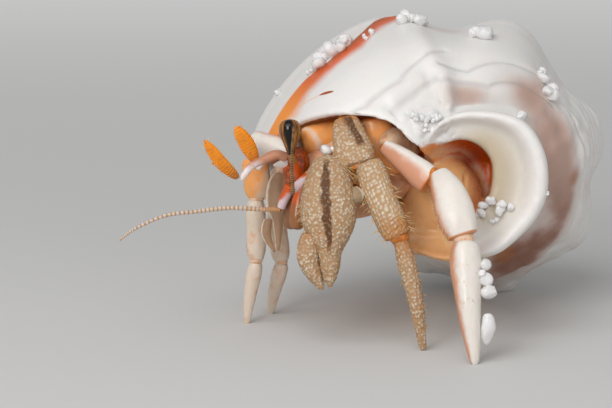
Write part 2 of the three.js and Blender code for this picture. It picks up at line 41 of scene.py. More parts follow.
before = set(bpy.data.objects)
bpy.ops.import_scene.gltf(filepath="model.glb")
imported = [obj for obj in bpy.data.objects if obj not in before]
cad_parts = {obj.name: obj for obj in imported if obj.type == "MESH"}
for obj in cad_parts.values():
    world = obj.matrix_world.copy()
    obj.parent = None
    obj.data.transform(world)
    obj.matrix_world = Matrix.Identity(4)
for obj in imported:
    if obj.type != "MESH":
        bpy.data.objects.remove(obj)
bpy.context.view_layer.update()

MM = 0.001
COMMON_BRISTLE = 0.045  # half its thickness at the root, in millimetres


# ---- Sizes and colours that a user would change ----


def length(label, about, default):
    return bpy.props.FloatProperty(
        name=label, description=about, default=default * MM, unit="LENGTH", subtype="DISTANCE", precision=5
    )


def colour(label, about, default):
    return bpy.props.FloatVectorProperty(
        name=label, description=about, default=(*linear(default), 1.0), size=4, min=0, max=1, subtype="COLOR"
    )


def linear(shade):
    """The linear red, green and blue of a colour given as #rrggbb."""
    parts = [int(shade[i : i + 2], 16) / 255 for i in (1, 3, 5)]
    return [c / 12.92 if c <= 0.04045 else ((c + 0.055) / 1.055) ** 2.4 for c in parts]


class ShellSettings(bpy.types.PropertyGroup):
    mesh_size: length("Mesh size", "Side of the shell's mesh faces", 0.312)
    hollow_mesh: length("Body mesh size", "Side of the soft body's mesh faces", 0.35)
    white: colour("White", "The shell's outside", "#e9e6e3")
    band: colour("Band", "The band before the shoulder", "#de5a04")
    band_edge: colour("Band edge", "The band's dark outer edge", "#a84a14")
    band_light: colour("Band, by the lip", "The band where it nears the lip", "#fc9618")
    # Blush: the older whorls' pinkish brown, partly painted shade in the valleys between the knobs and behind
    # the rim.
    blush: colour("Blush", "The older whorls between the knobs", "#b99484")
    # Deep blush: partly painted shade on the shell's underside, low on the right.
    deep_blush: colour("Deep blush", "The darkest of the older whorls", "#824424")
    # Ember: warm stains, partly painted shade on the underside beside the rim.
    ember: colour("Ember", "Warm stains on the older whorls", "#a8693a")
    # Inside: also laid as painted shade on the wall behind the pillar's ball.
    inside: colour("Inside", "The glaze deep in the canal", "#cf5e0c")
    peach_inside: colour("Inside, by the lip", "The glaze inside the lip", "#ec9f62")
    # Dish: a cream painted shade in the hollow of the flared rim.
    dish: colour("Dish", "The hollow of the flared rim", "#bdac90")
    pillar: colour("Pillar", "The smooth pillar in the mouth", "#dfa872")


class CrabSettings(bpy.types.PropertyGroup):
    bristle: length("Bristle", "Half the thickness of a common bristle at its root", COMMON_BRISTLE)
    claw: colour("Claw", "Grains on the large claw and the second leg", "#e2d4bd")
    claw_ground: colour("Claw ground", "Skin between the grains", "#b08c68")
    claw_warm: colour("Claw, warm", "The warm parts of claw and second leg", "#b3773f")
    stripe: colour("Stripe", "The dark stripe down claw and leg", "#5a3210")
    porcelain: colour("Porcelain", "The third leg", "#e4ddd5")
    pink: colour("Pink", "Thin skin on the side of the third leg", "#c67640")
    peach: colour("Peach", "The shield and the upper leg pieces", "#f8a85c")
    tan: colour("Tan", "The upper piece of the third leg", "#c0895f")
    red: colour("Red", "The face round the mouth", "#cc5512")
    orange: colour("Orange", "Feelers", "#f8951c")
    joint: colour("Joint", "Thin skin at the joints", "#cf7a2c")
    bristle_colour: colour("Bristles", "The bristles", "#e3bd84")
    eye_dark: colour("Eye, dark", "The dark of the eye", "#0a0605")
    eye_brown: colour("Eye, brown", "The streaks of the eye", "#a86c2e")


class StageSettings(bpy.types.PropertyGroup):
    floor: colour("Floor", "The floor", "#d4d4d3")
    backdrop: colour("Backdrop", "What the far floor adds to its own colour", "#909090")
    lens: bpy.props.FloatProperty(
        name="Lens", description="Focal length of the camera", default=139.04, unit="CAMERA"
    )
    elevation: bpy.props.FloatProperty(
        name="Elevation", description="How far the camera looks down", default=math.radians(10),
        unit="ROTATION",
    )


# ---- Places ----

SHELL_TILT = math.radians(7)
SHELL_TURN = math.radians(4)
MOUTH_END = Vector((-5.3, -27.5, 16.4)) * MM
SPIRE_DEPTH = 44.0
WHORL_GROWTH = 2.5
TIP_DEPTH = 0.25  # how far below the floor a leg's path ends; set_points cuts the tip level

OUTWARD = Vector(
    (
        -math.sin(SHELL_TURN) * math.cos(SHELL_TILT),
        -math.cos(SHELL_TURN) * math.cos(SHELL_TILT),
        math.sin(SHELL_TILT),
    )
)
RIGHTWARD = Vector((math.cos(SHELL_TURN), -math.sin(SHELL_TURN), 0))
UPWARD = OUTWARD.cross(RIGHTWARD)
AXES = np.array([RIGHTWARD, UPWARD, OUTWARD])


def placed(points):
    """Places in the shell's frame, in millimetres, as places in the row frame, in metres."""
    return np.asarray(points, float) * MM @ AXES + np.array(MOUTH_END)


def in_shell(places):
    return (np.asarray(places, float) - np.array(MOUTH_END)) @ AXES.T / MM


def on_floor(x, z):
    """The last point of a leg's path, at the floor."""
    level = placed([x, 0, z])[2] / MM
    return [x, -(level + TIP_DEPTH) / UPWARD.z, z]


def stretch(rows, at):
    """The four rows round each place on a path, and how far it is from the second to the third."""
    padded = np.vstack([2 * rows[0] - rows[1], rows, 2 * rows[-1] - rows[-2]])
    i = np.minimum(at.astype(int), len(rows) - 2)
    return *(padded[i + k] for k in range(4)), (at - i)[:, None]


def smooth_rows(rows, count):
    """A smooth curve through the rows, by Catmull and Rom, as count rows."""
    rows = np.asarray(rows, float)
    a, b, c, d, t = stretch(rows, np.linspace(0, len(rows) - 1, count))
    return 0.5 * (2 * b + (c - a) * t + (2 * a - 5 * b + 4 * c - d) * t**2 + (3 * b - a - 3 * c + d) * t**3)


def unit(ways):
    """Each of these directions, made 1 long."""
    return ways / np.linalg.norm(ways, axis=1)[:, None]


def smoothstep(low, high, value):
    t = np.clip((value - low) / (high - low), 0, 1)
    return t * t * (3 - 2 * t)


def rough(places, scale, seed=0.0):
    """Smooth noise from -1 to 1 at each place."""
    return np.array([noise.noise(Vector(p) * scale + Vector((seed, 0, 0))) for p in places])


# ---- Meshes ----


def deselect_all():
    for thing in bpy.context.selected_objects:
        thing.select_set(False)


def only(piece):
    """Makes this piece the one that operators act on."""
    deselect_all()
    piece.select_set(True)
    bpy.context.view_layer.objects.active = piece
    return piece


def mesh_piece(name, points, faces):
    mesh = bpy.data.meshes.new(name)
    mesh.from_pydata([tuple(p) for p in points], [], faces)
    piece = bpy.data.objects.new(name, mesh)
    bpy.context.scene.collection.objects.link(piece)
    return only(piece)


def modified(piece, kind, **settings):
    """Adds a modifier and applies it at once."""
    only(piece)
    bpy.ops.object.modifier_add(type=kind)
    modifier = piece.modifiers[-1]
    for key, value in settings.items():
        setattr(modifier, key, value)
    bpy.ops.object.modifier_apply(modifier=modifier.name)
    return piece


def joined(name, pieces):
    deselect_all()
    for piece in pieces:
        piece.select_set(True)
    bpy.context.view_layer.objects.active = pieces[0]
    bpy.ops.object.join()
    piece = bpy.context.view_layer.objects.active
    piece.name = name
    piece.data.name = name
    return piece


def fused(name, pieces, size):
    """One closed skin round all the pieces."""
    piece = joined(name, pieces)
    modified(piece, "REMESH", mode="VOXEL", voxel_size=size, use_smooth_shade=True)
    return piece


def points_of(piece):
    places = np.empty(len(piece.data.vertices) * 3)
    piece.data.vertices.foreach_get("co", places)
    return places.reshape(-1, 3)


def set_points(piece, places):
    """Moves the mesh's points, and keeps them above the floor."""
    places = np.array(places, float)
    places[:, 2] = np.maximum(places[:, 2], 0)
    piece.data.vertices.foreach_set("co", places.ravel())
    piece.data.update()


def normals_of(piece):
    found = np.empty(len(piece.data.vertices) * 3, np.float32)
    piece.data.vertex_normals.foreach_get("vector", found)
    return found.reshape(-1, 3).astype(float)


def note(piece, name, values):
    """Keeps one number for each vertex, for the finish to read."""
    attribute = piece.data.attributes.new(name, "FLOAT", "POINT")
    attribute.data.foreach_set("value", np.asarray(values, np.float32))


def smooth(piece):
    only(piece)
    bpy.ops.object.shade_smooth()
    return piece


def kept(piece, slot, *nodes):
    """The piece rides on the model's one body and stands for these nodes. The slot is not used."""
    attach(piece, "root")
    if nodes:
        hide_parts(*nodes)
    return piece


def sphere(name, segments, rings):
    deselect_all()
    bpy.ops.mesh.primitive_uv_sphere_add(segments=segments, ring_count=rings, radius=1)
    piece = bpy.context.active_object
    piece.name = piece.data.name = name
    return piece


def outwards(piece, triangles=False):
    """Turns all faces of a closed mesh outwards."""
    only(piece)
    bpy.ops.object.mode_set(mode="EDIT")
    bpy.ops.mesh.select_all(action="SELECT")
    if triangles:
        bpy.ops.mesh.quads_convert_to_tris(ngon_method="BEAUTY")
    bpy.ops.mesh.normals_make_consistent(inside=False)
    bpy.ops.object.mode_set(mode="OBJECT")
    return piece


def tube_faces(rings, sides, first=0):
    """The faces of a closed tube, whose rings of vertices follow each other from the first on."""
    faces = []
    for i in range(rings - 1):
        for j in range(sides):
            a, b = first + i * sides + j, first + i * sides + (j + 1) % sides
            faces.append((a, b, b + sides, a + sides))
    faces.append(tuple(first + j for j in reversed(range(sides))))
    faces.append(tuple(first + (rings - 1) * sides + j for j in range(sides)))
    return faces


def loft(name, rings):
    """A closed mesh through closed rings of equal length."""
    rings = np.asarray(rings, float)
    return outwards(mesh_piece(name, rings.reshape(-1, 3), tube_faces(*rings.shape[:2])), triangles=True)


# ---- Limbs ----


class Limb:
    """A piece along a smooth path. Each row of its form is how far along it is, its half width
    and its half depth; facing is the way its broad side looks; square below 1 makes its
    section boxy; detail gives how far the surface stands out at each place; reach is how far
    the piece goes on past its path's first and last point, into the joints; ends is the share
    of the path over which each end is rounded off."""

    def __init__(self, path, form, facing=(0, 0, 1), square=1.0, ends=0.06, detail=None, reach=(0, 0)):
        path = np.array(path, float)
        for end, back, far in ((0, 1, reach[0]), (-1, -2, reach[1])):
            way = path[end] - path[back]
            path[end] += way / np.linalg.norm(way) * far
        self.path = placed(path) / MM
        self.form = np.asarray(form, float)
        self.facing = np.asarray(facing, float) @ AXES
        self.square = square
        self.ends = ends
        self.detail = detail

    def centre(self, along):
        """Places on the centripetal spline through the path's points."""
        a, b, c, d, t = stretch(self.path, np.clip(along, 0, 1) * (len(self.path) - 1))
        ab, bc, cd = (np.sqrt(np.linalg.norm(v - u, axis=1))[:, None] for u, v in ((a, b), (b, c), (c, d)))
        start = ((b - a) / ab - (c - a) / (ab + bc) + (c - b) / bc) * bc
        end = ((c - b) / bc - (d - b) / (bc + cd) + (d - c) / cd) * bc
        return b + start * t + (3 * (c - b) - 2 * start - end) * t**2 + (2 * (b - c) + start + end) * t**3

    def frames(self, along):
        """The ways ahead, across and out of the broad side, at each place on the path."""
        step = 1e-3
        ahead = unit(self.centre(np.minimum(along + step, 1)) - self.centre(np.maximum(along - step, 0)))
        across = unit(np.cross(self.facing, ahead))
        return ahead, across, np.cross(ahead, across)

    def half_sizes(self, along):
        """The form between its rows, on a smooth curve."""
        at, sizes = self.form[:, 0], self.form[:, 1:]
        slopes = np.gradient(sizes, at, axis=0)
        i = np.clip(np.searchsorted(at, along, side="right") - 1, 0, len(at) - 2)
        step = (at[i + 1] - at[i])[:, None]
        t = ((along - at[i])[:, None]) / step
        value = (
            (2 * t**3 - 3 * t**2 + 1) * sizes[i]
            + (t**3 - 2 * t**2 + t) * step * slopes[i]
            + (3 * t**2 - 2 * t**3) * sizes[i + 1]
            + (t**3 - t**2) * step * slopes[i + 1]
        )
        near = np.minimum(along, 1 - along)
        return value * np.sqrt(1 - np.clip(1 - near / self.ends, 0, 1) ** 2)[:, None]

    def place(self, along, angle):
        """Places on the surface, in metres in the row frame."""
        along, angle = np.broadcast_arrays(np.asarray(along, float), np.asarray(angle, float))
        _, across, deep = self.frames(along)
        sizes = self.half_sizes(along)
        side = np.sign(np.cos(angle)) * np.abs(np.cos(angle)) ** self.square
        front = np.sign(np.sin(angle)) * np.abs(np.sin(angle)) ** self.square
        if self.detail is not None:
            out = self.detail(along, angle) * np.clip(np.minimum(along, 1 - along) / self.ends, 0, 1)
            sizes = sizes + out[:, None]
        wide = across * (side * sizes[:, 0])[:, None]
        high = deep * (front * sizes[:, 1])[:, None]
        return (self.centre(along) + wide + high) * MM

    def normal(self, along, angle):
        along, angle = np.broadcast_arrays(np.asarray(along, float), np.asarray(angle, float))
        step = 0.01
        low, high = np.clip(along - step, 0, 1), np.clip(along + step, 0, 1)
        v = self.place(high, angle) - self.place(low, angle)
        u = self.place(along, angle + step) - self.place(along, angle - step)
        out = np.cross(u, v)
        out /= np.maximum(np.linalg.norm(out, axis=1)[:, None], 1e-12)
        middle = self.centre(along) * MM
        flip = np.sign(np.einsum("ij,ij->i", out, self.place(along, angle) - middle))
        return out * flip[:, None]

    def mesh(self, name, sides=48, rings=72):
        """A ball, drawn out along the path."""
        piece = sphere(name, sides, rings)
        x, y, z = points_of(piece).T
        along = np.clip((1 - z) / 2, 0, 1)
        angle = np.arctan2(y, x)
        set_points(piece, self.place(along, angle))
        note(piece, "along", along)
        note(piece, "across", np.cos(angle))
        note(piece, "front", np.sin(angle))
        return smooth(outwards(piece))


BRISTLE_LEAN = 0.5  # towards the limb's tip, for each 1 outwards
BRISTLE_SPREAD = 0.35
BRISTLE_BOW = 0.15
BRISTLE_SIDES = 4
# Up a bristle: share of its length, and share of its thickness there.
BRISTLE_STATIONS = ((-0.12, 1.0), (0.45, 0.75), (1.0, 0.15))


def bristles(name, limb, count, along, angle, size, thick, seed):
    """Stiff bristles on a stretch of a limb, leaning towards its tip, as one mesh."""
    rng = np.random.default_rng(seed)
    thick = thick / COMMON_BRISTLE * bpy.context.scene.hermit_crab.bristle
    at = rng.uniform(*along, count)
    turn = rng.uniform(*angle, count)
    root = limb.place(at, turn)
    ahead = limb.frames(at)[0]
    lean = limb.normal(at, turn) + BRISTLE_LEAN * ahead
    way = unit(lean + rng.normal(0, BRISTLE_SPREAD, (count, 3)))
    long = rng.uniform(*size, count)[:, None] * MM
    side = unit(np.cross(way, rng.normal(0, 1, (count, 3))))
    other = np.cross(way, side)
    points, faces = [], []
    for k in range(count):
        faces += tube_faces(len(BRISTLE_STATIONS), BRISTLE_SIDES, len(points))
        for share, width in BRISTLE_STATIONS:
            middle = root[k] + way[k] * long[k] * share + ahead[k] * long[k] * BRISTLE_BOW * share**2
            for j in range(BRISTLE_SIDES):
                spin = 2 * math.pi * j / BRISTLE_SIDES
                points.append(middle + (side[k] * math.cos(spin) + other[k] * math.sin(spin)) * thick * width)
    return smooth(mesh_piece(name, points, faces))


# ---- Finishes ----


class Value:
    """A number from a node, on which Python's operators add Math nodes."""

    def __init__(self, paint, socket):
        self.paint = paint
        self.socket = socket

    def __add__(self, other):
        return self.paint.maths("ADD", self, other)

    def __sub__(self, other):
        return self.paint.maths("SUBTRACT", self, other)

    def __rsub__(self, other):
        return self.paint.maths("SUBTRACT", other, self)

    def __mul__(self, other):
        return self.paint.maths("MULTIPLY", self, other)

    def __pow__(self, other):
        return self.paint.maths("POWER", self, other)

    __radd__ = __add__
    __rmul__ = __mul__


def tint(name):
    """The colour that the settings hold under this name."""
    scene = bpy.context.scene
    for group in (scene.hermit_shell, scene.hermit_crab, scene.hermit_stage):
        if hasattr(group, name):
            return tuple(getattr(group, name))
    raise KeyError(name)


class Paint:
    """One finish and the nodes that it is made of. A colour is four numbers or a setting's name."""

    def __init__(self, name):
        self.material = bpy.data.materials.new(name)
        self.material.use_nodes = True
        self.tree = self.material.node_tree
        self.tree.nodes.clear()
        self.shader = self.node("ShaderNodeBsdfPrincipled", Specular_IOR_Level=0.3)
        self.node("ShaderNodeOutputMaterial", Surface=self.shader.outputs["BSDF"])
        self.base = None

    def node(self, kind, settings=None, **sockets):
        """A node; a socket is given by its name, or by its place, as i0."""
        made = self.tree.nodes.new(kind)
        for key, value in (settings or {}).items():
            setattr(made, key, value)
        for key, value in sockets.items():
            self.feed(made.inputs[int(key[1:]) if key[1:].isdigit() else key.replace("_", " ")], value)
        return made

    def feed(self, socket, value):
        if isinstance(value, str):
            value = tint(value)
        if isinstance(value, Value):
            value = value.socket
        if isinstance(value, bpy.types.NodeSocket):
            self.tree.links.new(value, socket)
        else:
            socket.default_value = value

    def maths(self, operation, first, second=0.0):
        made = self.node("ShaderNodeMath", {"operation": operation}, i0=first, i1=second)
        return Value(self, made.outputs[0])

    def noted(self, *names):
        """The numbers that note() kept under these names."""
        nodes = [self.node("ShaderNodeAttribute", {"attribute_name": name}) for name in names]
        found = [Value(self, made.outputs["Fac"]) for made in nodes]
        return found if len(found) > 1 else found[0]

    def places(self):
        return self.node("ShaderNodeTexCoord").outputs["Object"]

    def noise(self, size, detail=3.0, roughness=0.55, where=None):
        """Noise from about 0 to 1, with features of this size in millimetres."""
        where = where or self.places()
        scale = 1 / (size * MM)
        made = self.node("ShaderNodeTexNoise", Vector=where, Scale=scale, Detail=detail, Roughness=roughness)
        return Value(self, made.outputs["Fac"])

    def field(self, x=0.0, y=0.0, z=0.0):
        """Three values as a place for noise to read, in metres."""
        return self.node("ShaderNodeCombineXYZ", X=x, Y=y, Z=z).outputs[0]

    def cells(self, size, randomness=1.0, where=None):
        """How far each place is from the middle of its cell."""
        where = where or self.places()
        made = self.node("ShaderNodeTexVoronoi", Vector=where, Scale=1 / (size * MM), Randomness=randomness)
        return Value(self, made.outputs["Distance"])

    def step(self, value, low, high):
        """0 at low, 1 at high, smooth between them; low may be the greater."""
        ends = {"From_Min": min(low, high), "From_Max": max(low, high)}
        ends |= {"To_Min": float(low > high), "To_Max": float(low < high)}
        made = self.node("ShaderNodeMapRange", {"interpolation_type": "SMOOTHSTEP"}, Value=value, **ends)
        return Value(self, made.outputs["Result"])

    def band(self, value, low, high, soft):
        """1 between low and high, with soft edges."""
        return self.step(value, low - soft, low + soft) * self.step(value, high + soft, high - soft)

    def blend(self, first, second, share):
        return self.node("ShaderNodeMix", {"data_type": "RGBA"}, i0=share, i6=first, i7=second).outputs[2]

    def lay(self, shade, share=1.0):
        """Lays a colour over the ones before it, as far as its share goes."""
        self.base = shade if self.base is None else self.blend(self.base, shade, share)

    def bump(self, height, distance, strength, under=None):
        """Relief of this height, in millimetres, over the relief under it."""
        made = self.node("ShaderNodeBump", Strength=strength, Distance=distance * MM, Height=height)
        if under is not None:
            self.feed(made.inputs["Normal"], under)
        return made.outputs["Normal"]

    def finish(self, roughness, normal=None, skin=(0, 1), coat=0, **constants):
        """The material. Skin is how much light goes in, and how deep in millimetres."""
        weight, depth = skin
        constants |= {"Subsurface_Weight": weight, "Subsurface_Scale": depth * MM, "Coat_Weight": coat}
        constants |= {"Base_Color": self.base, "Roughness": roughness}
        if normal is not None:
            constants["Normal"] = normal
        for key, value in constants.items():
            self.feed(self.shader.inputs[key.replace("_", " ")], value)
        return self.material


FLECK = (144.7, 43.9)  # degrees and height of a dark fleck by the lip


def porcelain_shell():
    """White glaze with an orange band, blushed older whorls and a warm inside."""
    paint = Paint("shell_porcelain")
    turn, height, inner, band, pillar, wet = paint.noted("turn", "height", "inner", "band", "pillar", "wet")
    mottle, cloud = paint.noise(1.6, 4), paint.noise(5, 3)
    paint.lay("white")
    paint.lay((0.66, 0.60, 0.56, 1), paint.step(mottle, 0.5, 0.95) * 0.25)
    # Blush is the older whorls' own pinkish brown and also painted shade in the valleys and behind the rim.
    blush = paint.noted("blush") + (cloud - 0.5) * 0.5 * paint.step(turn, 80, 30)
    blush = blush + paint.step(cloud, 0.5, 0.7) * paint.step(height, 30, 20) * 0.45
    blush = paint.step(blush + (mottle - 0.5) * 0.2, 0.02, 1.0)
    paint.lay("blush", blush * 0.9)
    # Darker still low on the right, partly painted shade on the shell's underside.
    paint.lay("deep_blush", paint.step(blush, 0.6, 1.0) * paint.step(turn, 20, -30) * (0.4 + mottle * 0.5))
    # Warm stains, partly painted shade on the underside beside the rim.
    paint.lay("ember", paint.step(paint.noted("ember"), 0.1, 0.9) * 0.75)
    # The band is sharp and dark outside and fades inwards.
    wander = band + (paint.noise(3, 2) - 0.5) * 0.25
    glow = paint.blend("band", "band_light", paint.step(turn, 140, 160))
    paint.lay(glow, paint.step(band, -0.07, 0.07) * paint.step(wander, 1.2, 0.5) * paint.step(turn, 106, 112))
    rust = paint.step(band, -0.07, 0.05) * paint.step(wander, 0.55, 0.08) * paint.band(turn, 114, 143, 6)
    paint.lay("band_edge", rust * 0.85)
    # The fleck trails off along the band.
    off = (turn - FLECK[0]) * DEGREE
    aside = (height - FLECK[1] + off * 1.12) ** 2
    tail = paint.step(aside * 40, 1.0, 0.1) * paint.band(off, 0.4, 2.9, 0.5)
    paint.lay("band_light", tail * (1 - inner) * 0.55)
    paint.lay("band_edge", paint.step(off * off * 1.9 + aside * 9, 1.1, 0.6) * (1 - inner))
    # The inside colour is the glaze, and also painted shade behind the pillar's ball.
    paint.lay("inside", inner)
    paint.lay("peach_inside", inner * paint.step(turn, 100, 135))
    paint.lay("pillar", pillar)
    # Cream painted shade lies in the rim's hollow.
    paint.lay("dish", paint.noted("dish") * 0.9)
    groove = paint.step(paint.noted("groove"), 0.3, 0.0)
    # Grey painted shade darkens the grooves.
    paint.lay((0.42, 0.40, 0.39, 1), groove * 0.3)
    # Fine growth lines run across the whorl, and finer threads along it.
    growth = paint.noise(1, 3, where=paint.field(turn * 0.0009, height * 0.00012)) * (1 - pillar)
    thread = paint.noise(1, 3, where=paint.field(turn * 0.00005, height * 0.0012)) * (1 - pillar)
    normal = paint.bump(growth * 0.6 + thread * 0.5 + paint.noise(0.3, 2) * 0.12, 0.14, 0.4)
    normal = paint.bump(1 - groove, 0.12, 0.7, normal)
    normal = paint.bump(paint.step(paint.cells(1.3), 0.7, 0.1) * wet, 0.35, 0.8, normal)
    roughness = 0.3 + mottle * 0.16 - inner * 0.1 - pillar * 0.1 - wet * 0.22
    return paint.finish(roughness, normal, (0.12, 1.2), 0.2, Coat_Roughness=0.12)


def grainy_plate(name, stripe=None, warm=(2.0, 3.0), rows=None):
    """Sandy skin set with pale grains, on the claw and the second leg. The stripe is its place
    across the piece at its start and end, its half width, and where along the piece it starts
    and ends; warm is where along the piece it turns to its warm colour; rows sets the grains in
    rows, as how many there are along the piece and across it."""
    paint = Paint(name)
    along, across, front = paint.noted("along", "across", "front")
    mottle, fine = paint.noise(1.4, 4), paint.noise(0.2, 3)
    if rows:
        wobble = paint.noise(2.0, 2) * 1.6
        where = paint.field(along * rows[0] + wobble + across * 0.8, across * rows[1], front * rows[1])
        cells = paint.cells(1000, 0.45, where)
    else:
        cells = paint.cells(0.37, 0.9)
    grains = paint.step(cells, 0.66, 0.12)
    turned = paint.step(along + (mottle - 0.5) * 0.3, *warm)
    worn = paint.step(paint.noise(2.6, 3), 0.35, 0.65)
    paint.lay("claw_ground")
    paint.lay("claw_warm", paint.step(mottle, 0.5, 0.75) * 0.4)
    paint.lay("claw_warm", turned)
    paint.lay("claw", grains * (0.55 + worn * 0.35 - turned * 0.4))
    if rows:
        paint.lay((0.60, 0.36, 0.14, 1), paint.step(cells, 0.5, 0.72) * 0.4)
    if stripe:
        first, last, half, start, end = stripe
        off = across - along * (last - first) - first + (paint.noise(1.0, 3) - 0.5) * 0.3
        mask = paint.step(off * off, half * half * 1.8, half * half * 0.2)
        mask = mask * paint.band(along, start, end, 0.06) * paint.step(front, -0.1, 0.25)
        paint.lay("stripe", mask * (0.95 - grains * 0.2))
    normal = paint.bump(grains * 0.9 + fine * 0.3 + mottle * 0.4, 0.12, 0.9)
    return paint.finish(0.5 - grains * 0.16, normal, (0.08, 0.8))


def porcelain_leg(name, pink=(0.4, 0.9), rim=0.97):
    """The smooth white third leg, with thin pink skin towards one side, over this stretch, and
    an orange rim at its far end."""
    paint = Paint(name)
    along, across = paint.noted("along", "across")
    wander = paint.noise(1.8, 3) - 0.5
    cloud = paint.noise(0.9, 4)
    paint.lay("porcelain")
    paint.lay((0.70, 0.56, 0.42, 1), paint.step(cloud, 0.5, 0.85) * 0.3)
    paint.lay("pink", paint.step(wander * 0.6 - across, *pink) * 0.8)
    paint.lay("joint", paint.step(along, rim - 0.03, rim) * 0.8)
    normal = paint.bump(cloud + paint.noise(0.3, 3) * 0.4, 0.06, 0.5)
    return paint.finish(0.3 + cloud * 0.15, normal, (0.15, 1), 0.25)


def soft_skin(name, main, second, share=0.5, gloss=0.42, size=1.2):
    """Moist skin and thin plates that run from one colour to another."""
    paint = Paint(name)
    cloud = paint.noise(size, 4)
    paint.lay(main)
    paint.lay(second, paint.step(cloud, 0.62 - share * 0.4, 0.85 - share * 0.25))
    normal = paint.bump(cloud + paint.noise(size / 4, 3) * 0.5, 0.08, 0.5)
    return paint.finish(gloss + cloud * 0.14, normal, (0.15, 0.8), 0.3)


def shield_plate():
    """The glossy peach shield with its pearly corner, and a dark spot by the eyes that is a painted shadow of
    the eye.
    """
    paint = Paint("shield_plate")
    along, across = paint.noted("along", "across")
    cloud = paint.noise(1.5, 4)
    paint.lay("peach")
    paint.lay("tan", paint.step(cloud, 0.45, 0.8) * 0.6)
    pearl = paint.band(along + across * 0.12 + (cloud - 0.5) * 0.06, 0.16, 0.26, 0.03)
    paint.lay((0.80, 0.68, 0.58, 1), pearl * 0.6)
    # A painted shadow of the eye darkens the shield's front end.
    paint.lay((0.10, 0.04, 0.01, 1), paint.step(along + (cloud - 0.5) * 0.1, 0.11, 0.03) * 0.85)
    return paint.finish(0.34, paint.bump(cloud, 0.06, 0.4), (0.15, 1), 0.2)


def ringed(name, main, ring, count, share=0.5, rings_end=9.0, foot=None):
    """A feeler with rings across it, as far along it as rings_end; foot is its root's colour."""
    paint = Paint(name)
    along, across = paint.noted("along", "across")
    wave = paint.maths("SINE", along * (2 * math.pi * count))
    ringing = paint.step(along, rings_end, rings_end - 0.5)
    paint.lay(main)
    paint.lay(ring, paint.step(paint.noise(0.7, 3), 0.45, 0.75) * 0.4)
    if foot:
        # A feeler with a foot is darker down its middle, partly its own brown centre and partly painted
        # shade, and has a painted highlight along one edge.
        paint.lay(ring, paint.step(across * across, 0.5, 0.0) * 0.25)
        paint.lay((0.80, 0.50, 0.36, 1), paint.step(across, 0.75, 0.98) * 0.5)
    paint.lay(ring, paint.step(wave, 0.9 - share * 1.4, 1.0 - share * 0.8) * ringing)
    if foot:
        paint.lay(foot, paint.step(along, 0.3, 0.02) * 0.8)
    normal = paint.bump(wave * 0.4 * ringing + paint.noise(0.15, 2) * 0.3, 0.04, 0.4)
    return paint.finish(0.4, normal, (0.2, 0.5), Specular_IOR_Level=0.25)


def two_tone(name, first, second, turn=0.5, side=0.0):
    """A stem that runs from one colour to another; side lets the second come up one flank."""
    paint = Paint(name)
    along, across = paint.noted("along", "across")
    cloud = paint.noise(0.7, 3)
    paint.lay(first)
    paint.lay(second, paint.step(along + across * side + (cloud - 0.5) * 0.5, turn - 0.18, turn + 0.18))
    normal = paint.bump(cloud + paint.noise(0.2, 3) * 0.4, 0.06, 0.5)
    return paint.finish(0.28, normal, (0.2, 0.6), 0.4)


def bordered(name, middle, edge):
    """A plate with a pale border on both its flanks."""
    paint = Paint(name)
    across = paint.noted("across")
    cloud = paint.noise(0.8, 4)
    paint.lay(middle)
    paint.lay(edge, paint.step(across * across + (cloud - 0.5) * 0.4, 0.4, 0.75))
    normal = paint.bump(cloud + paint.noise(0.25, 3) * 0.5, 0.08, 0.6)
    return paint.finish(0.45, normal, (0.1, 0.6))


def face_skin():
    """Wet red skin, spotted brighter, that turns brown below."""
    paint = Paint("face_skin")
    cloud = paint.noise(0.45, 4)
    paint.lay((0.26, 0.05, 0.006, 1))
    paint.lay("red", paint.step(cloud, 0.45, 0.65))
    paint.lay((0.26, 0.12, 0.05, 1), paint.step(paint.noted("along"), 0.4, 0.65) * 0.85)
    return paint.finish(0.25, paint.bump(cloud, 0.12, 0.7), coat=0.4)


def glossy_eye():
    """Dark glassy eye with golden brown streaks on its flanks that run down to the stalk."""
    paint = Paint("eye_glass")
    along, across, front = paint.noted("along", "across", "front")
    streak = paint.noise(400, 4, 0.6, paint.field(across * 3.4, front * 3.4, along * 0.9))
    off = across - 0.04
    flank = paint.step(off * off + (streak - 0.5) * 0.25, 0.06, 0.36)
    paint.lay("eye_dark")
    paint.lay("eye_brown", flank * paint.step(streak, 0.3, 0.62))
    paint.lay((0.50, 0.32, 0.14, 1), paint.step(streak, 0.55, 0.7) * flank * 0.7)
    paint.lay("eye_dark", paint.step(along, 0.3, 0.1) * 0.6)
    paint.lay("eye_dark", paint.step(across * across, 0.86, 1.0) * 0.6)
    return paint.finish(0.2, coat=0.35, Specular_IOR_Level=0.2, Coat_Roughness=0.04)


def sand_grain():
    paint = Paint("sand_grain")
    cloud = paint.noise(0.7, 3)
    paint.lay((0.96, 0.95, 0.95, 1))
    paint.lay((0.82, 0.77, 0.75, 1), paint.step(cloud, 0.5, 0.75) * 0.5)
    return paint.finish(0.14, paint.bump(cloud, 0.08, 0.4), coat=0.3, Transmission_Weight=0.25)


def plain(name, shade, gloss=0.4):
    paint = Paint(name)
    paint.lay(shade)
    return paint.finish(gloss, skin=(0.1, 0.3))


def covered(piece, material):
    piece.data.materials.clear()
    piece.data.materials.append(material)
    return piece


# ---- The shell ----

# The last whorl's outline at its full size: height from the shell's tip, radius from the axis,
# where the lip ends in degrees round the axis, and its share of the knobs.
WHORL_OUTLINE = [
    [50.2, 8.0, 137, 0], [50.6, 10.0, 137, 0], [50.0, 12.6, 137, 0], [47.8, 17.1, 147, 0.1],
    [43.5, 20.6, 157.5, 0.2], [36.0, 22.7, 168, 0.5], [30.0, 23.5, 175, 0.8], [27.0, 23.6, 177, 1],
    [24.6, 22.4, 178, 0.7], [20.6, 19.4, 179, 0.15], [16.4, 15.6, 180, 0], [12.6, 10.6, 181, 0],
]
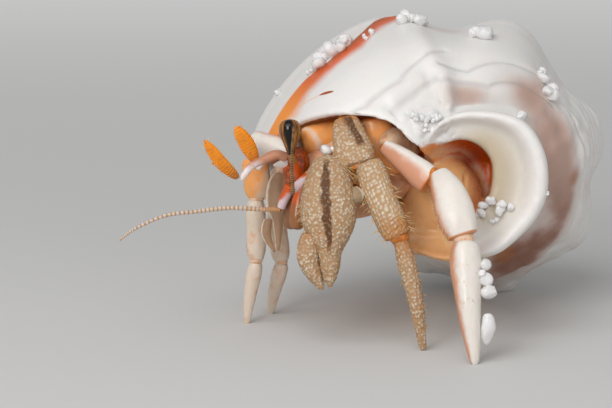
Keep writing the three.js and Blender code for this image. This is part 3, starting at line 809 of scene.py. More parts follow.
# The hollow inside that whorl: height, radius, its share of the lip's flare, and how far its
# height and radius grow where the lip thins to its edge.
HOLLOW_OUTLINE = [
    [49.2, 8.2, 0, 0.7, 0], [48.8, 12.0, 0, 0.7, 0.2], [46.6, 16.0, 0.1, 0.6, 0.5],
    [42.2, 19.2, 0.4, 0.4, 0.7], [35.4, 21.2, 0.8, 0, 0.6], [29.0, 21.9, 1, 0, 0.5],
    [25.2, 20.8, 1, 0, 0.3], [21.6, 17.0, 0.3, -0.4, 0.3], [19.6, 12.4, 0, -0.4, 0], [22.0, 9.4, 0, 0, 0],
    [28.0, 7.6, 0, 0, 0], [38.0, 6.8, 0, 0, 0], [46.0, 6.8, 0, 0, 0],
]
AXIS_SHARE = (37.0, 25.0)  # front and back of the solid whorl on the axis
KNOB_SPACING = 48.5
KNOB_HEIGHT = 3.1
LAST_KNOB = 121.5
LIP_FLARE = 1.8
FIRST_TURN = -735
LIP_TURN = -24
LAST_TURN = 181
LIP_DROP = 0.45  # share of a knob's height that the shoulder loses at the lip
RIM_INNER = [
    [-4.8, 4.5], [-2.8, 5.4], [-0.5, 6.1], [1.6, 5.4], [2.9, 3.8], [3.1, 2.0], [2.8, 0], [1.7, -2.2],
    [-0.6, -3.8], [-3.8, -4.6], [-7.4, -4.2],
]
RIM_OUTER = [
    [-4.6, 5.4], [-2.6, 8.3], [1.1, 9.3], [6.0, 8.4], [8.5, 5.2], [9.1, 1.1], [8.0, -2.3], [5.3, -5.3],
    [2.8, -6.8], [-2.2, -7.4], [-7.7, -5.5],
]
# Across the rim: share of the way from the inner to the outer curve, and how far back it lies.
RIM_OUTLINE = [
    [0, -10], [-0.02, -2.4], [0.12, -1.5], [0.5, -1.6], [0.7, -0.5], [0.86, 0], [0.98, -0.5], [1.01, -1.6],
    [0.88, -3.6], [0.5, -6.5], [0.3, -11],
]
COLUMELLA_CENTRE = (-2.7, -1.1, -7.5)
COLUMELLA_RADII = (4.6, 5.4, 6.6)
# The collar fills the step between the pillar's ball and the rim.
COLLAR_CENTRE = (-5.2, -3.6, -6.6)
COLLAR_RADII = (3.9, 3.7, 4.6)
# Lines over the last whorl, each point as degrees round the axis and height from the tip.
CREST = [(111, 30), (109.5, 35), (106, 46), (101.7, 48.2), (101.1, 49.3)]
SHORT_CREST = [(128, 49), (112, 48.6)]
GROOVES = [
    [(150, 47.6), (138.7, 48.4), (120.3, 48.1), (106.3, 46), (98.8, 44.6)],
    [(132.2, 49.6), (117.4, 49.3), (104.1, 48.6)],
    [(102.7, 47.2), (88.4, 47.6), (64.7, 43.7), (50, 41)],
    [(103.3, 48.7), (77.6, 48.7), (58.6, 46.3), (44, 45)],
    [(60, 40), (30, 43), (8, 41), (-20, 42)],
]
BAND_OUTER = [
    (104, 27), (112, 27.5), (119.5, 29.9), (124, 33.2), (129, 35.6), (138, 36.6), (146, 35.6), (182, 35.2),
]
BAND_INNER = [
    (104, 31), (111.3, 32.2), (119.5, 35.5), (126.6, 39.6), (147.6, 40.8), (156, 41.8), (164, 40),
    (182, 39.7),
]
# Soft stains on the whorls, and painted shade in the valleys and behind the rim: degrees, height, how far
# they reach in each, and their strength.
BLUSHES_AND_SHADE = [
    (90, 49.6, 15, 0.9, 0.8),
    (56, 44.5, 8, 4, 0.5),
    (60, 47.4, 14, 1.8, 0.6),
    (34, 47.6, 15, 3.4, 0.95),
    (12, 48, 15, 3.2, 1.0),
    (-10, 46.5, 14, 3.4, 0.8),
    (-36, 46, 15, 3.6, 0.85),
    (-58, 45.5, 16, 4.6, 0.85),
    (-85, 42, 20, 8, 0.7),
    (0, 34, 9, 9, 0.35),
    (-50, 33, 12, 9, 0.45),
    (49, 35, 8, 8, 0.25),
]
# Warm stains, partly painted shade beside the rim's underside: degrees, height, how far they reach in each,
# and their strength.
EMBERS_AND_SHADE = [(-60, 48.4, 10, 2.2, 1.0), (6.6, 45, 6, 1.5, 0.8), (98, 34.5, 8, 3, 0.4), (-34, 42, 6, 2, 0.35)]
DEGREE = 0.33  # millimetres along the last whorl for each degree
OUTLINE_ROWS = 45  # of the smooth curve through the whorl's outline
HOLLOW_ROWS = 40
RIM_ROWS = 80
WHORL_STEP = 3.0  # degrees between the whorls' rings
HOLLOW_START, HOLLOW_END = -20, 250  # degrees
FAR_OFF = 1e9  # further than any place on the shell, in millimetres
NO_BAND = -9  # what the band's and the grooves' notes say where there are none
NO_GROOVE = 9


def whorl_scale(degrees):
    return WHORL_GROWTH ** ((degrees - 180) / 360)


def on_shell(degrees, height, radius):
    angle = np.radians(degrees)
    return np.stack([radius * np.cos(angle), radius * np.sin(angle), height - SPIRE_DEPTH], axis=-1)


def knob_share(degrees):
    wave = np.cos(np.pi * (degrees - LAST_KNOB) / KNOB_SPACING) ** 2
    return np.where(degrees > LAST_KNOB, 1.0 - LIP_DROP * smoothstep(163, 181, degrees), wave)


def lip_end(heights):
    """Where the lip ends at these heights, in degrees."""
    return np.interp(heights, (12.6, 24.6, 30, 36, 43.5, 47.8, 50), (181, 178, 175, 168, 157.5, 147, 137))


def lip_flare(degrees):
    return LIP_FLARE * smoothstep(LAST_KNOB - 20, LAST_KNOB + 30, degrees)


def lip_thinning(heights, degrees):
    return smoothstep(0, 1, (degrees - lip_end(heights) + 22) / 18)


def whorls():
    outline = smooth_rows(WHORL_OUTLINE, OUTLINE_ROWS)
    heights = np.append(outline[:, 0], AXIS_SHARE[::-1])
    radii = np.append(outline[:, 1], (0, 0))
    ends = np.append(outline[:, 2], (LAST_TURN, WHORL_OUTLINE[0][2]))
    knobs = np.append(outline[:, 3], (0, 0))
    rings = []
    for turn in np.arange(FIRST_TURN, LAST_TURN + 1, WHORL_STEP):
        share = max(0.0, (turn - LIP_TURN) / (LAST_TURN - LIP_TURN))
        degrees = np.where(turn < LIP_TURN, turn, LIP_TURN + (ends - LIP_TURN) * share)
        scale = whorl_scale(degrees)
        wide = radii + KNOB_HEIGHT * knobs * knob_share(degrees)
        rings.append(on_shell(degrees, heights * scale, wide * scale))
    return loft("whorls", placed(rings))


def hollow():
    outline = smooth_rows([*HOLLOW_OUTLINE, HOLLOW_OUTLINE[0]], HOLLOW_ROWS)[:-1]
    rings = []
    for degrees in np.linspace(HOLLOW_START, HOLLOW_END, 70):
        scale = whorl_scale(degrees)
        thin = lip_thinning(outline[:, 0], degrees)
        heights = outline[:, 0] + thin * outline[:, 3]
        radii = outline[:, 1] + lip_flare(degrees) * outline[:, 2] + thin * outline[:, 4]
        rings.append(on_shell(degrees, heights * scale, radii * scale))
    return loft("hollow", placed(rings))


def rim():
    inner, outer = smooth_rows(RIM_INNER, RIM_ROWS), smooth_rows(RIM_OUTER, RIM_ROWS)
    outline = smooth_rows(RIM_OUTLINE, 36)
    rings = []
    for a, b in zip(inner, outer):
        flat = a + (b - a) * outline[:, :1]
        rings.append(np.column_stack([flat, outline[:, 1]]))
    return loft("rim", placed(rings))


def ellipsoid(name, centre, radii):
    piece = sphere(name, 48, 32)
    set_points(piece, placed(points_of(piece) * radii + centre))
    return smooth(piece)


def pillar():
    path = [[0, 0, -41], [0, 0, -35], [0, 0, -29], [0.6, 0.4, -19], [1.2, 0.6, -9.5]]
    form = [[0, 1.3, 1.3], [0.25, 3.6, 3.6], [0.5, 5.2, 5.2], [0.75, 5.6, 5.6], [1, 5.2, 5.2]]
    return Limb(path, form, facing=(0, 1, 0)).mesh("pillar", 32, 40)


def off_outline(corners, heights, radii):
    """How far each place is from an outline. Each corner is a height and a radius, which may
    differ from place to place."""
    best = np.full(len(heights), FAR_OFF)
    for (a, b), (c, d) in zip(corners, corners[1:]):
        tall, wide = c - a, d - b
        t = np.clip(((heights - a) * tall + (radii - b) * wide) / (tall**2 + wide**2), 0, 1)
        best = np.minimum(best, np.hypot(heights - a - t * tall, radii - b - t * wide))
    return best


def off_line(line, turn, height):
    """How far each place on the last whorl is from a line over it, in millimetres."""
    return off_outline([(point[0] * DEGREE, point[1]) for point in line], turn * DEGREE, height)


def spots(rows, turn, height):
    """How strong these soft stains are at each place, from 0 to 1."""
    total = np.zeros(len(turn))
    for degrees, tall, wide, deep, strength in rows:
        total += strength * np.exp(-(((turn - degrees) / wide) ** 2) - ((height - tall) / deep) ** 2)
    return np.clip(total, 0, 1)


def describe(piece):
    """Where on the whorls each vertex of the shell is: its turn in degrees, its height in the
    last whorl's measure, whether it is on the inside, and how far it is from the lip's edge in
    millimetres; and its place in the shell's frame."""
    x, y, z = in_shell(points_of(piece)).T
    outer = smooth_rows(WHORL_OUTLINE, OUTLINE_ROWS)
    inner = smooth_rows([*HOLLOW_OUTLINE, HOLLOW_OUTLINE[0]], HOLLOW_ROWS)
    around = np.degrees(np.arctan2(y, x))
    radius = np.hypot(x, y)
    best = np.full(len(x), FAR_OFF)
    turns, heights = np.zeros(len(x)), np.zeros(len(x))
    for whole in (1, 0, -1, -2):
        turn = around + 360 * whole
        scale = whorl_scale(turn)
        height = (z + SPIRE_DEPTH) / scale
        knob = KNOB_HEIGHT * knob_share(turn)
        corners = [(row[0], row[1] + knob * row[3]) for row in outer]
        far = off_outline(corners, height, radius / scale) * scale
        far = np.where(turn > LAST_TURN + 9, FAR_OFF, far)
        nearer = far < best
        best = np.where(nearer, far, best)
        turns = np.where(nearer, turn, turns)
        heights = np.where(nearer, height, heights)
    turn = np.where(around < -150, around + 360, around)
    scale = whorl_scale(turn)
    flare = lip_flare(turn)
    corners = []
    for row in inner:
        thin = lip_thinning(row[0], turn)
        corners.append((row[0] + thin * row[3], row[1] + flare * row[2] + thin * row[4]))
    height = (z + SPIRE_DEPTH) / scale
    far = off_outline(corners, height, radius / scale) * scale
    inside = np.where(turn > LIP_TURN, smoothstep(-0.15, 0.15, best - far), 0)
    return turns, heights, inside, (lip_end(height) - turn) * DEGREE, (x, y, z)


def rim_place(x, y, z):
    """How far across the flared rim a place is, 0 at its inner edge and 1 at its outer one, and
    how far round it, from the notch to the pillar's side; -1 off the rim."""
    count = 4 * RIM_ROWS
    inner, outer = smooth_rows(RIM_INNER, count), smooth_rows(RIM_OUTER, count)
    best = np.full(len(x), FAR_OFF)
    share, around = np.full(len(x), -1.0), np.zeros(len(x))
    for k, (a, b) in enumerate(zip(inner, outer)):
        d = b - a
        t = np.clip(((x - a[0]) * d[0] + (y - a[1]) * d[1]) / (d @ d), -0.3, 1.3)
        far = np.hypot(x - a[0] - t * d[0], y - a[1] - t * d[1])
        nearer = far < best
        best = np.where(nearer, far, best)
        share = np.where(nearer, t, share)
        around = np.where(nearer, k / (count - 1), around)
    return np.where((best < 0.45) & (z > -10), share, -1), around


def relief(piece, turn, height, grooves):
    """How far each place stands out of the plain whorl, in millimetres: the fold down its front
    with grooves to both sides, the older whorls' rough skin and the cords round them."""
    places = points_of(piece)
    old = smoothstep(75, 30, turn)
    back = smoothstep(33, 24, height) * smoothstep(181, 165, turn)
    cords = np.sin(height * 2.4 + rough(places, 90, 4) * 1.5)
    lift = 0.55 * np.exp(-((off_line(CREST, turn, height) / 1.5) ** 2))
    lift -= 0.25 * np.exp(-(((turn - 92) / 7) ** 2))
    lift += 0.3 * np.exp(-((off_line(SHORT_CREST, turn, height) / 0.7) ** 2))
    for groove in grooves:
        lift -= 0.18 * np.exp(-((groove / 0.45) ** 2))
    lift += old * (0.45 * rough(places, 260, 3) + 0.2 * rough(places, 600, 8))
    lift += old * 0.07 * cords * (0.6 + rough(places, 200, 6))
    return lift * np.maximum(old, smoothstep(180, 160, turn)) + 0.06 * back * cords


def mouth_parts(x, y, z, share, around, on_rim):
    """Which places are on the pillar, in painted shade behind its ball, in the canal, and in the rim's
    hollow, which takes painted shade.
    """
    off_ball = (np.column_stack([x, y, z]) - COLUMELLA_CENTRE) / COLUMELLA_RADII
    ball_far = np.sqrt((off_ball**2).sum(1))
    column = smoothstep(1.3, 1.1, ball_far) * smoothstep(-13, -11, z)
    column = np.maximum(column, on_rim * smoothstep(0.78, 0.88, around) * (z > -9))
    wall = smoothstep(-1.0, -3.0, z) * smoothstep(-23, -20, z) * smoothstep(11.5, 10, np.hypot(x, y))
    wall = wall * smoothstep(0, -3, x) * smoothstep(6, 4, y)
    column = np.maximum(column, wall * smoothstep(-8.5, -7, y))
    # Painted shade: the wall behind the ball's top takes the dark glaze colour.
    deep = column * smoothstep(1.02, 1.1, ball_far) * smoothstep(2.2, 3.4, y) * (1 - on_rim)
    canal = smoothstep(0.04, -0.04, share) * (share > -0.9) * smoothstep(-2.0, -2.8, z)
    dish = smoothstep(0.85, 0.1, share) * (share > -0.1) * smoothstep(-4, -2.5, z)
    dish = dish * smoothstep(0.1, 0.3, around) * smoothstep(0.85, 0.6, around)
    return column * (1 - deep), deep, canal, dish


class HERMIT_OT_shell(bpy.types.Operator):
    """Model the whelk shell"""

    bl_idname = "hermit.shell"
    bl_label = "Shell"

    def execute(self, context):
        size = context.scene.hermit_shell.mesh_size
        piece = fused("whelk_shell", [whorls()], size)
        room = hollow()
        modified(piece, "BOOLEAN", operation="DIFFERENCE", object=room, solver="MANIFOLD")
        bpy.data.objects.remove(room)
        ball = ellipsoid("ball", COLUMELLA_CENTRE, COLUMELLA_RADII)
        collar = ellipsoid("collar", COLLAR_CENTRE, COLLAR_RADII)
        piece = fused("whelk_shell", [piece, rim(), ball, collar, pillar()], size)
        modified(piece, "SMOOTH", factor=0.5, iterations=10)
        turn, height, inside, edge, (x, y, z) = describe(piece)
        share, around = rim_place(x, y, z)
        on_rim = smoothstep(1.28, 1.12, share) * (share > -0.9) * smoothstep(-9.5, -7, z)
        outside = (1 - inside) * (1 - on_rim)
        grooves = [off_line(line, turn, height) for line in GROOVES]
        lift = relief(piece, turn, height, grooves) * outside * MM
        set_points(piece, points_of(piece) + normals_of(piece) * lift[:, None])
        band_start = np.interp(turn, *zip(*BAND_OUTER))
        band = (height - band_start) / (np.interp(turn, *zip(*BAND_INNER)) - band_start)
        column, deep, canal, dish = mouth_parts(x, y, z, share, around, on_rim)
        # The inside keeps the outside's white for a little way back from the lip's edge.
        glazed = np.maximum(inside * smoothstep(0.6, 2.2, edge), canal) * (1 - column)
        for key, value in (
            ("turn", turn),
            ("height", height),
            # The inner note holds the glaze inside and the painted shade behind the pillar's ball.
            ("inner", np.maximum(glazed, deep)),
            ("pillar", column),
            ("dish", dish),
            ("band", np.where(outside > 0.5, band, NO_BAND)),
            ("blush", spots(BLUSHES_AND_SHADE, turn, height) * outside),
            ("ember", spots(EMBERS_AND_SHADE, turn, height) * outside),
            ("groove", np.where(outside > 0.5, np.min(grooves, axis=0), NO_GROOVE)),
            ("wet", smoothstep(96, 104, turn) * smoothstep(136, 126, turn) * smoothstep(49.6, 50.2, height)),
        ):
            note(piece, key, value)
        kept(covered(smooth(piece), porcelain_shell()), "shell", "shell")
        return {"FINISHED"}


# ---- The crab's pieces ----


def segment(wide, deep, ends=0.7):
    return [
        [0, wide * ends, deep * ends],
        [0.12, wide * 0.93, deep * 0.93],
        [0.5, wide, deep],
        [0.86, wide * 0.95, deep * 0.95],
        [1, wide * ends, deep * ends],
    ]


def toe(wide, deep):
    return [
        [0, wide * 0.75, deep * 0.75],
        [0.12, wide, deep],
        [0.45, wide * 0.9, deep * 0.9],
        [0.8, wide * 0.62, deep * 0.62],
        [1, 0.32, 0.32],
    ]


def tapered(wide):
    return [[0, wide, wide], [0.5, wide * 0.9, wide * 0.9], [1, wide * 0.73, wide * 0.73]]


def knobbly(height, size, seed):
    """Small rounded grains over a limb's surface, height in millimetres."""

    def detail(along, angle):
        places = np.column_stack([along * size[0], np.cos(angle) * size[1], np.sin(angle) * size[1]])
        return height * (rough(places, 1.0, seed) + 0.5 * rough(places, 2.1, seed + 9))

    return detail


def ridges(height, count, seed):
    """Rows of scale-like ridges across a limb, a little slanted and broken up."""

    def detail(along, angle):
        places = np.column_stack([along * 5, np.cos(angle) * 1.6, np.sin(angle) * 1.6])
        slant = 0.35 * np.cos(angle) + 0.7 * rough(places, 1.0, seed)
        phase = (count * along + slant) % 1
        return height * (phase * (0.7 + 0.5 * rough(places, 2.3, seed + 3)) - 0.3)

    return detail


def stepped(count, height):
    """Rings standing out along a feeler."""

    def detail(along, angle):
        return height * np.abs(np.sin(np.pi * count * along)) - height * 0.5

    return detail


STALK = tapered(0.62)
STEM = tapered(0.52)
INTO_JOINTS = (0.35, 0.35)
LEFT_PALM = Limb(
    [[-14.9, 4.3, 0.9], [-14.95, 0.2, 2.6], [-14.7, -4.6, 3.1], [-14.6, -10.2, 3.4]],
    [
        [0, 0.8, 0.7], [0.08, 1.75, 1.3], [0.25, 2.65, 2.0], [0.42, 3.05, 2.25], [0.58, 2.85, 2.1],
        [0.68, 2.15, 1.8], [0.76, 1.4, 1.4], [0.88, 1.0, 1.05], [1, 0.3, 0.4],
    ],
    square=0.85, detail=knobbly(0.08, (40, 8.0), 3),
)
LEFT_FINGER = Limb(
    [[-16.6, -4.2, 3.1], [-17.0, -7.0, 3.4], [-15.4, -10.4, 3.5]],
    [[0, 1.1, 1.2], [0.25, 1.25, 1.25], [0.7, 0.95, 1.0], [1, 0.3, 0.35]],
    detail=knobbly(0.06, (14, 3.0), 5),
)
LEG2_CARPUS = Limb(
    [[-13.3, 8.2, -1.3], [-12.6, 5.6, 0.3], [-11.8, 3.0, 1.6]],
    [[0, 1.25, 0.8], [0.12, 1.5, 1.1], [0.45, 1.95, 1.35], [0.85, 2.2, 1.35], [1, 1.9, 1.1]], square=0.6,
    ends=0.035, detail=knobbly(0.07, (18, 6.0), 7),
)
LEG2_PROPODUS = Limb(
    [[-10.6, 3.3, 1.6], [-9.1, -0.4, 2.8], [-7.3, -4.3, 3.2]],
    [[0, 1.35, 1.0], [0.12, 1.6, 1.15], [0.5, 1.65, 1.2], [0.88, 1.6, 1.15], [1, 1.4, 1.0]], square=0.75,
    ends=0.04, detail=ridges(0.1, 19, 11), reach=INTO_JOINTS,
)
LEG2_DACTYL = Limb(
    [[-6.9, -4.9, 3.3], [-5.3, -10.9, 4.0], on_floor(-4.3, 2.9)], toe(0.95, 0.85),
    detail=knobbly(0.05, (14, 3), 2), reach=(0.35, 0),
)
LEG3_CARPUS = Limb(
    [[-8.7, 5.1, -0.3], [-6.5, 3.6, 1.0], [-3.9, 1.6, 2.2]],
    [[0, 0.8, 0.75], [0.2, 1.05, 0.95], [0.6, 1.4, 1.15], [0.9, 1.6, 1.2], [1, 1.5, 1.1]], square=0.75,
    ends=0.03, reach=INTO_JOINTS,
)
LEG3_PROPODUS = Limb(
    [[-2.8, 2.4, 3.1], [-1.7, 0.2, 4.8], [-0.9, -2.1, 5.7], [-0.2, -4.1, 6.2]],
    [[0, 0.9, 0.75], [0.15, 1.5, 1.15], [0.45, 2.05, 1.4], [0.85, 1.9, 1.35], [1, 1.6, 1.15]], square=0.9,
    ends=0.04, detail=knobbly(0.04, (8, 2), 13), reach=(0.35, 0.2),
)
LEG3_DACTYL = Limb(
    [[0.1, -4.7, 6.4], [0.25, -8.0, 7.2], [0.6, -12.0, 8.1], on_floor(1.3, 8.9)],
    [
        [0, 1.0, 0.9], [0.08, 1.5, 1.25], [0.2, 1.7, 1.35], [0.5, 1.45, 1.2], [0.8, 1.0, 0.9],
        [0.94, 0.62, 0.6], [1, 0.35, 0.35],
    ],
    ends=0.04, detail=knobbly(0.04, (10, 2), 17), reach=(0.2, 0),
)
EYE_FORM = [
    [0, 0.35, 0.35], [0.25, 0.66, 0.66], [0.5, 1.05, 1.05], [0.72, 1.24, 1.24], [0.88, 1.05, 1.05],
    [0.97, 0.62, 0.62], [1, 0.25, 0.25],
]
LEFT_BLADE = Limb(
    [[-24.8, 1.7, 2.8], [-26.4, 3.2, 3.7], [-28.4, 5.9, 4.6]],
    [[0, 0.32, 0.26], [0.25, 0.58, 0.38], [0.6, 0.7, 0.42], [0.85, 0.52, 0.36], [1, 0.14, 0.14]],
    detail=stepped(16, 0.025),
)
RIGHT_BLADE = Limb(
    [[-23.3, 3.2, -2.6], [-24.3, 5.2, -2.2], [-25.6, 7.3, -1.6]],
    [[0, 0.42, 0.28], [0.3, 0.8, 0.4], [0.65, 0.85, 0.45], [0.88, 0.56, 0.36], [1, 0.16, 0.16]],
    detail=stepped(14, 0.025),
)
LEFT_ELBOW = Limb(
    [[-12.3, 0.8, 2.7], [-11.6, -0.9, 3.1]],
    [[0, 0.5, 0.4], [0.35, 0.95, 0.7], [0.8, 0.9, 0.7], [1, 0.4, 0.4]],
)


def limb_piece(name, limb, finish, slot, node, sides=48, rings=72):
    kept(covered(limb.mesh(name, sides, rings), finish), slot, node)


def plain_limb(name, path, form, node, finish, slot, reach, detail):
    limb = Limb(path, form, detail=detail, reach=reach, ends=0.05)
    limb_piece(name, limb, finish, slot, node, 36, 48)


class HERMIT_OT_claws(bpy.types.Operator):
    """Model both claws"""

    bl_idname = "hermit.claws"
    bl_label = "Claws"

    def execute(self, context):
        plate = grainy_plate("claw_plate_striped", stripe=(-0.1, 0.06, 0.11, 0.1, 0.75))
        bare = grainy_plate("claw_plate", warm=(0.4, -0.2))
        small = bordered("small_claw_plate", (0.36, 0.22, 0.13, 1), (0.76, 0.64, 0.52, 1))
        peach = soft_skin("peach_skin", "peach", (0.62, 0.30, 0.15, 1))
        skin = bordered("elbow_plate", (0.34, 0.23, 0.13, 1), (0.66, 0.55, 0.42, 1))
        limb_piece("left_claw_palm", LEFT_PALM, plate, "claw_plate", "cheliped_left_palm", 96, 160)
        kept(covered(LEFT_ELBOW.mesh("left_claw_elbow", 40, 40), skin), "claw_plate")
        limb_piece("left_claw_finger", LEFT_FINGER, bare, "claw_plate", "cheliped_left_finger")
        palm = [[-20.9, 2.0, -5.7], [-21.1, -0.6, -5.2], [-20.9, -3.2, -4.9], [-20.9, -6.8, -4.4]]
        palm_form = [
            [0, 0.6, 0.5], [0.12, 1.1, 0.9], [0.35, 1.35, 1.15], [0.55, 1.25, 1.05], [0.7, 0.8, 0.8],
            [1, 0.25, 0.25],
        ]
        finger = [[-22.0, -3.2, -4.9], [-22.2, -4.8, -4.7], [-21.3, -6.9, -4.3]]
        finger_form = [[0, 0.6, 0.7], [0.4, 0.7, 0.7], [1, 0.25, 0.25]]
        left_wrist, wrist = [[-12.6, 3.4, -1.9], [-14.4, 4.6, -0.9]], [[-18.8, 3.0, -6.3], [-20.4, 2.8, -6.3]]
        left_arm, arm = [[-11.4, 0.6, -4.2], [-12.4, 3.0, -2.9]], [[-16.6, 0.6, -5.6], [-18.2, 2.2, -6.2]]
        for side, part, node, path, form, finish, slot, reach in (
            ("left", "wrist", "carpus", left_wrist, segment(1.5, 1.3), bare, "claw_plate", INTO_JOINTS),
            ("left", "arm", "merus", left_arm, segment(1.4, 1.3), peach, "soft_body", INTO_JOINTS),
            ("right", "palm", "palm", palm, palm_form, small, "claw_plate", (0, 0)),
            ("right", "finger", "finger", finger, finger_form, small, "claw_plate", (0, 0)),
            ("right", "wrist", "carpus", wrist, segment(1.1, 1.1), bare, "claw_plate", INTO_JOINTS),
            ("right", "arm", "merus", arm, segment(1.1, 1.1), peach, "soft_body", INTO_JOINTS),
        ):
            node = f"cheliped_{side}_{node}"
            detail = knobbly(0.05, (10, 3), 1)
            plain_limb(f"{side}_claw_{part}", path, form, node, finish, slot, reach, detail)
        return {"FINISHED"}


class HERMIT_OT_left_legs(bpy.types.Operator):
    """Model the left walking legs"""

    bl_idname = "hermit.left_legs"
    bl_label = "Left walking legs"

    def execute(self, context):
        striped = grainy_plate("leg_plate_striped", stripe=(0.1, 0.45, 0.2, 0.05, 0.7), warm=(0.35, -0.05))
        ridged = grainy_plate("leg_plate_ridged", warm=(0.72, 0.92), rows=(19, 4.4))
        bare = grainy_plate("leg_plate", warm=(0.25, 0.0))
        # On the third leg's carpus, pink skin covers most of it but a white strip along its top flank, which
        # is a painted highlight.
        upper = porcelain_leg("leg_porcelain_upper", (-0.5, 0.1))
        white = porcelain_leg("leg_porcelain", rim=0.965)
        tip = porcelain_leg("leg_porcelain_tip", rim=2.0)
        tan = soft_skin("tan_skin", (0.68, 0.48, 0.32, 1), "tan")
        peach = soft_skin("peach_thigh", "peach", (0.70, 0.38, 0.20, 1))
        for leg, part, limb, finish, slot, sides, rings in (
            ("leg2", "carpus", LEG2_CARPUS, striped, "claw_plate", 80, 100),
            ("leg2", "propodus", LEG2_PROPODUS, ridged, "claw_plate", 64, 150),
            ("leg2", "dactyl", LEG2_DACTYL, bare, "claw_plate", 48, 72),
            ("leg3", "carpus", LEG3_CARPUS, upper, "pale_leg", 64, 80),
            ("leg3", "propodus", LEG3_PROPODUS, white, "pale_leg", 64, 80),
            ("leg3", "dactyl", LEG3_DACTYL, tip, "pale_leg", 48, 110),
        ):
            limb_piece(f"left_{leg}_{part}", limb, finish, slot, f"{leg}_left_{part}", sides, rings)
        thigh2 = [[-8.8, 1.8, -4.8], [-9.7, 5.0, -3.4], [-10.2, 8.0, -3.2]]
        thigh3 = [[-6.2, 4.5, -6.0], [-7.0, 5.9, -3.8], [-8.0, 6.0, -2.0], [-8.9, 5.2, -0.8]]
        form3 = [[0, 1.1, 1.1], [0.3, 1.35, 1.2], [0.6, 1.3, 1.1], [0.85, 1.05, 0.9], [1, 0.8, 0.7]]
        for leg, path, form, finish, reach in (
            ("leg2", thigh2, segment(2.1, 1.5, 0.8), peach, (0.3, 0.5)),
            ("leg3", thigh3, form3, tan, (0.3, 0.2)),
        ):
            name, node = f"left_{leg}_merus", f"{leg}_left_merus"
            plain_limb(name, path, form, node, finish, "soft_body", reach, knobbly(0.04, (10, 3), 4))
        return {"FINISHED"}


class HERMIT_OT_right_legs(bpy.types.Operator):
    """Model the right walking legs"""

    bl_idname = "hermit.right_legs"
    bl_label = "Right walking legs"

    def execute(self, context):
        white = porcelain_leg("far_leg_porcelain", (0.7, 1.2), rim=2.0)
        warm = two_tone("far_leg_warm", (0.86, 0.38, 0.12, 1), (0.72, 0.52, 0.36, 1), 0.85, 0.5)
        pale = soft_skin("pale_leg", (0.72, 0.60, 0.49, 1), (0.66, 0.36, 0.2, 1), 0.35)
        peach = soft_skin("far_peach", "peach", (0.70, 0.38, 0.20, 1))
        legs = (
            (
                "leg2",
                [[-18.4, 3.4, -6.2], [-20.8, 4.7, -6.5], [-23.0, 5.0, -7.2], [-24.4, 5.2, -7.6]],
                [[-24.1, 3.4, -7.8], [-23.7, 1.6, -7.8], [-23.6, -0.8, -7.7]],
                [[-23.8, -1.4, -7.7], [-23.7, -7.9, -7.6]],
                [[-23.7, -8.5, -7.6], [-24.4, -12, -8.2], on_floor(-24.9, -9)],
                ([[0, 0.9, 0.9], [0.3, 1.2, 1.1], [0.7, 1.5, 1.2], [0.9, 1.45, 1.1], [1, 0.9, 0.8]], 1.5),
                (white, warm, pale),
            ),
            (
                "leg3",
                [[-15.8, 0.4, -10.4], [-18.4, 2.0, -11.3], [-20.3, 2.6, -11.7]],
                [[-20.8, 2.4, -11.8], [-21.8, 0.2, -12.1], [-21.9, -2.2, -12.3]],
                [[-21.9, -2.7, -12.3], [-21.2, -8.3, -12.1]],
                [[-21.1, -8.9, -12.1], [-22.0, -12, -13.2], on_floor(-22.6, -14.2)],
                (segment(1.15, 1.05), 1.15),
                (peach, pale, pale),
            ),
        )
        for leg, thigh, knee, shin, foot, (thigh_form, knee_width), (top, middle, low) in legs:
            for part, path, form, finish, reach in (
                ("merus", thigh, thigh_form, top, (0.2, 0.2)),
                ("carpus", knee, segment(knee_width, 1.0), middle, INTO_JOINTS),
                ("propodus", shin, segment(1.1, 0.95), low, INTO_JOINTS),
                ("dactyl", foot, toe(0.85, 0.75), low, (0.35, 0)),
            ):
                name, node = f"right_{leg}_{part}", f"{leg}_right_{part}"
                plain_limb(name, path, form, node, finish, "pale_leg", reach, knobbly(0.04, (10, 3), 4))
        return {"FINISHED"}


class HERMIT_OT_eyes(bpy.types.Operator):
    """Model the eyes and their stalks"""

    bl_idname = "hermit.eyes"
    bl_label = "Eyes"

    def execute(self, context):
        glass = glossy_eye()
        stalk = two_tone("stalk_skin", "red", (0.30, 0.13, 0.04, 1), 0.6)
        for side, top, bottom, foot, neck in (
            ("left", [-19.3, 8.2, 1.9], [-19.05, 4.2, 2.1], [-18.3, 1.9, 0.5], [-19.0, 4.0, 2.0]),
            ("right", [-19.4, 7.5, -1.8], [-19.3, 4.6, -1.6], [-17.9, 1.8, -2.0], [-19.1, 4.3, -1.6]),
        ):
            eye = Limb([bottom, top], EYE_FORM, ends=0.03)
            limb_piece(f"{side}_eye", eye, glass, "eye", f"eye_{side}", 64, 96)
            limb = Limb([foot, neck], tapered(0.5), reach=(0, 0.5))
            limb_piece(f"{side}_eye_stalk", limb, stalk, "feeler", f"eyestalk_{side}", 32, 40)
        return {"FINISHED"}


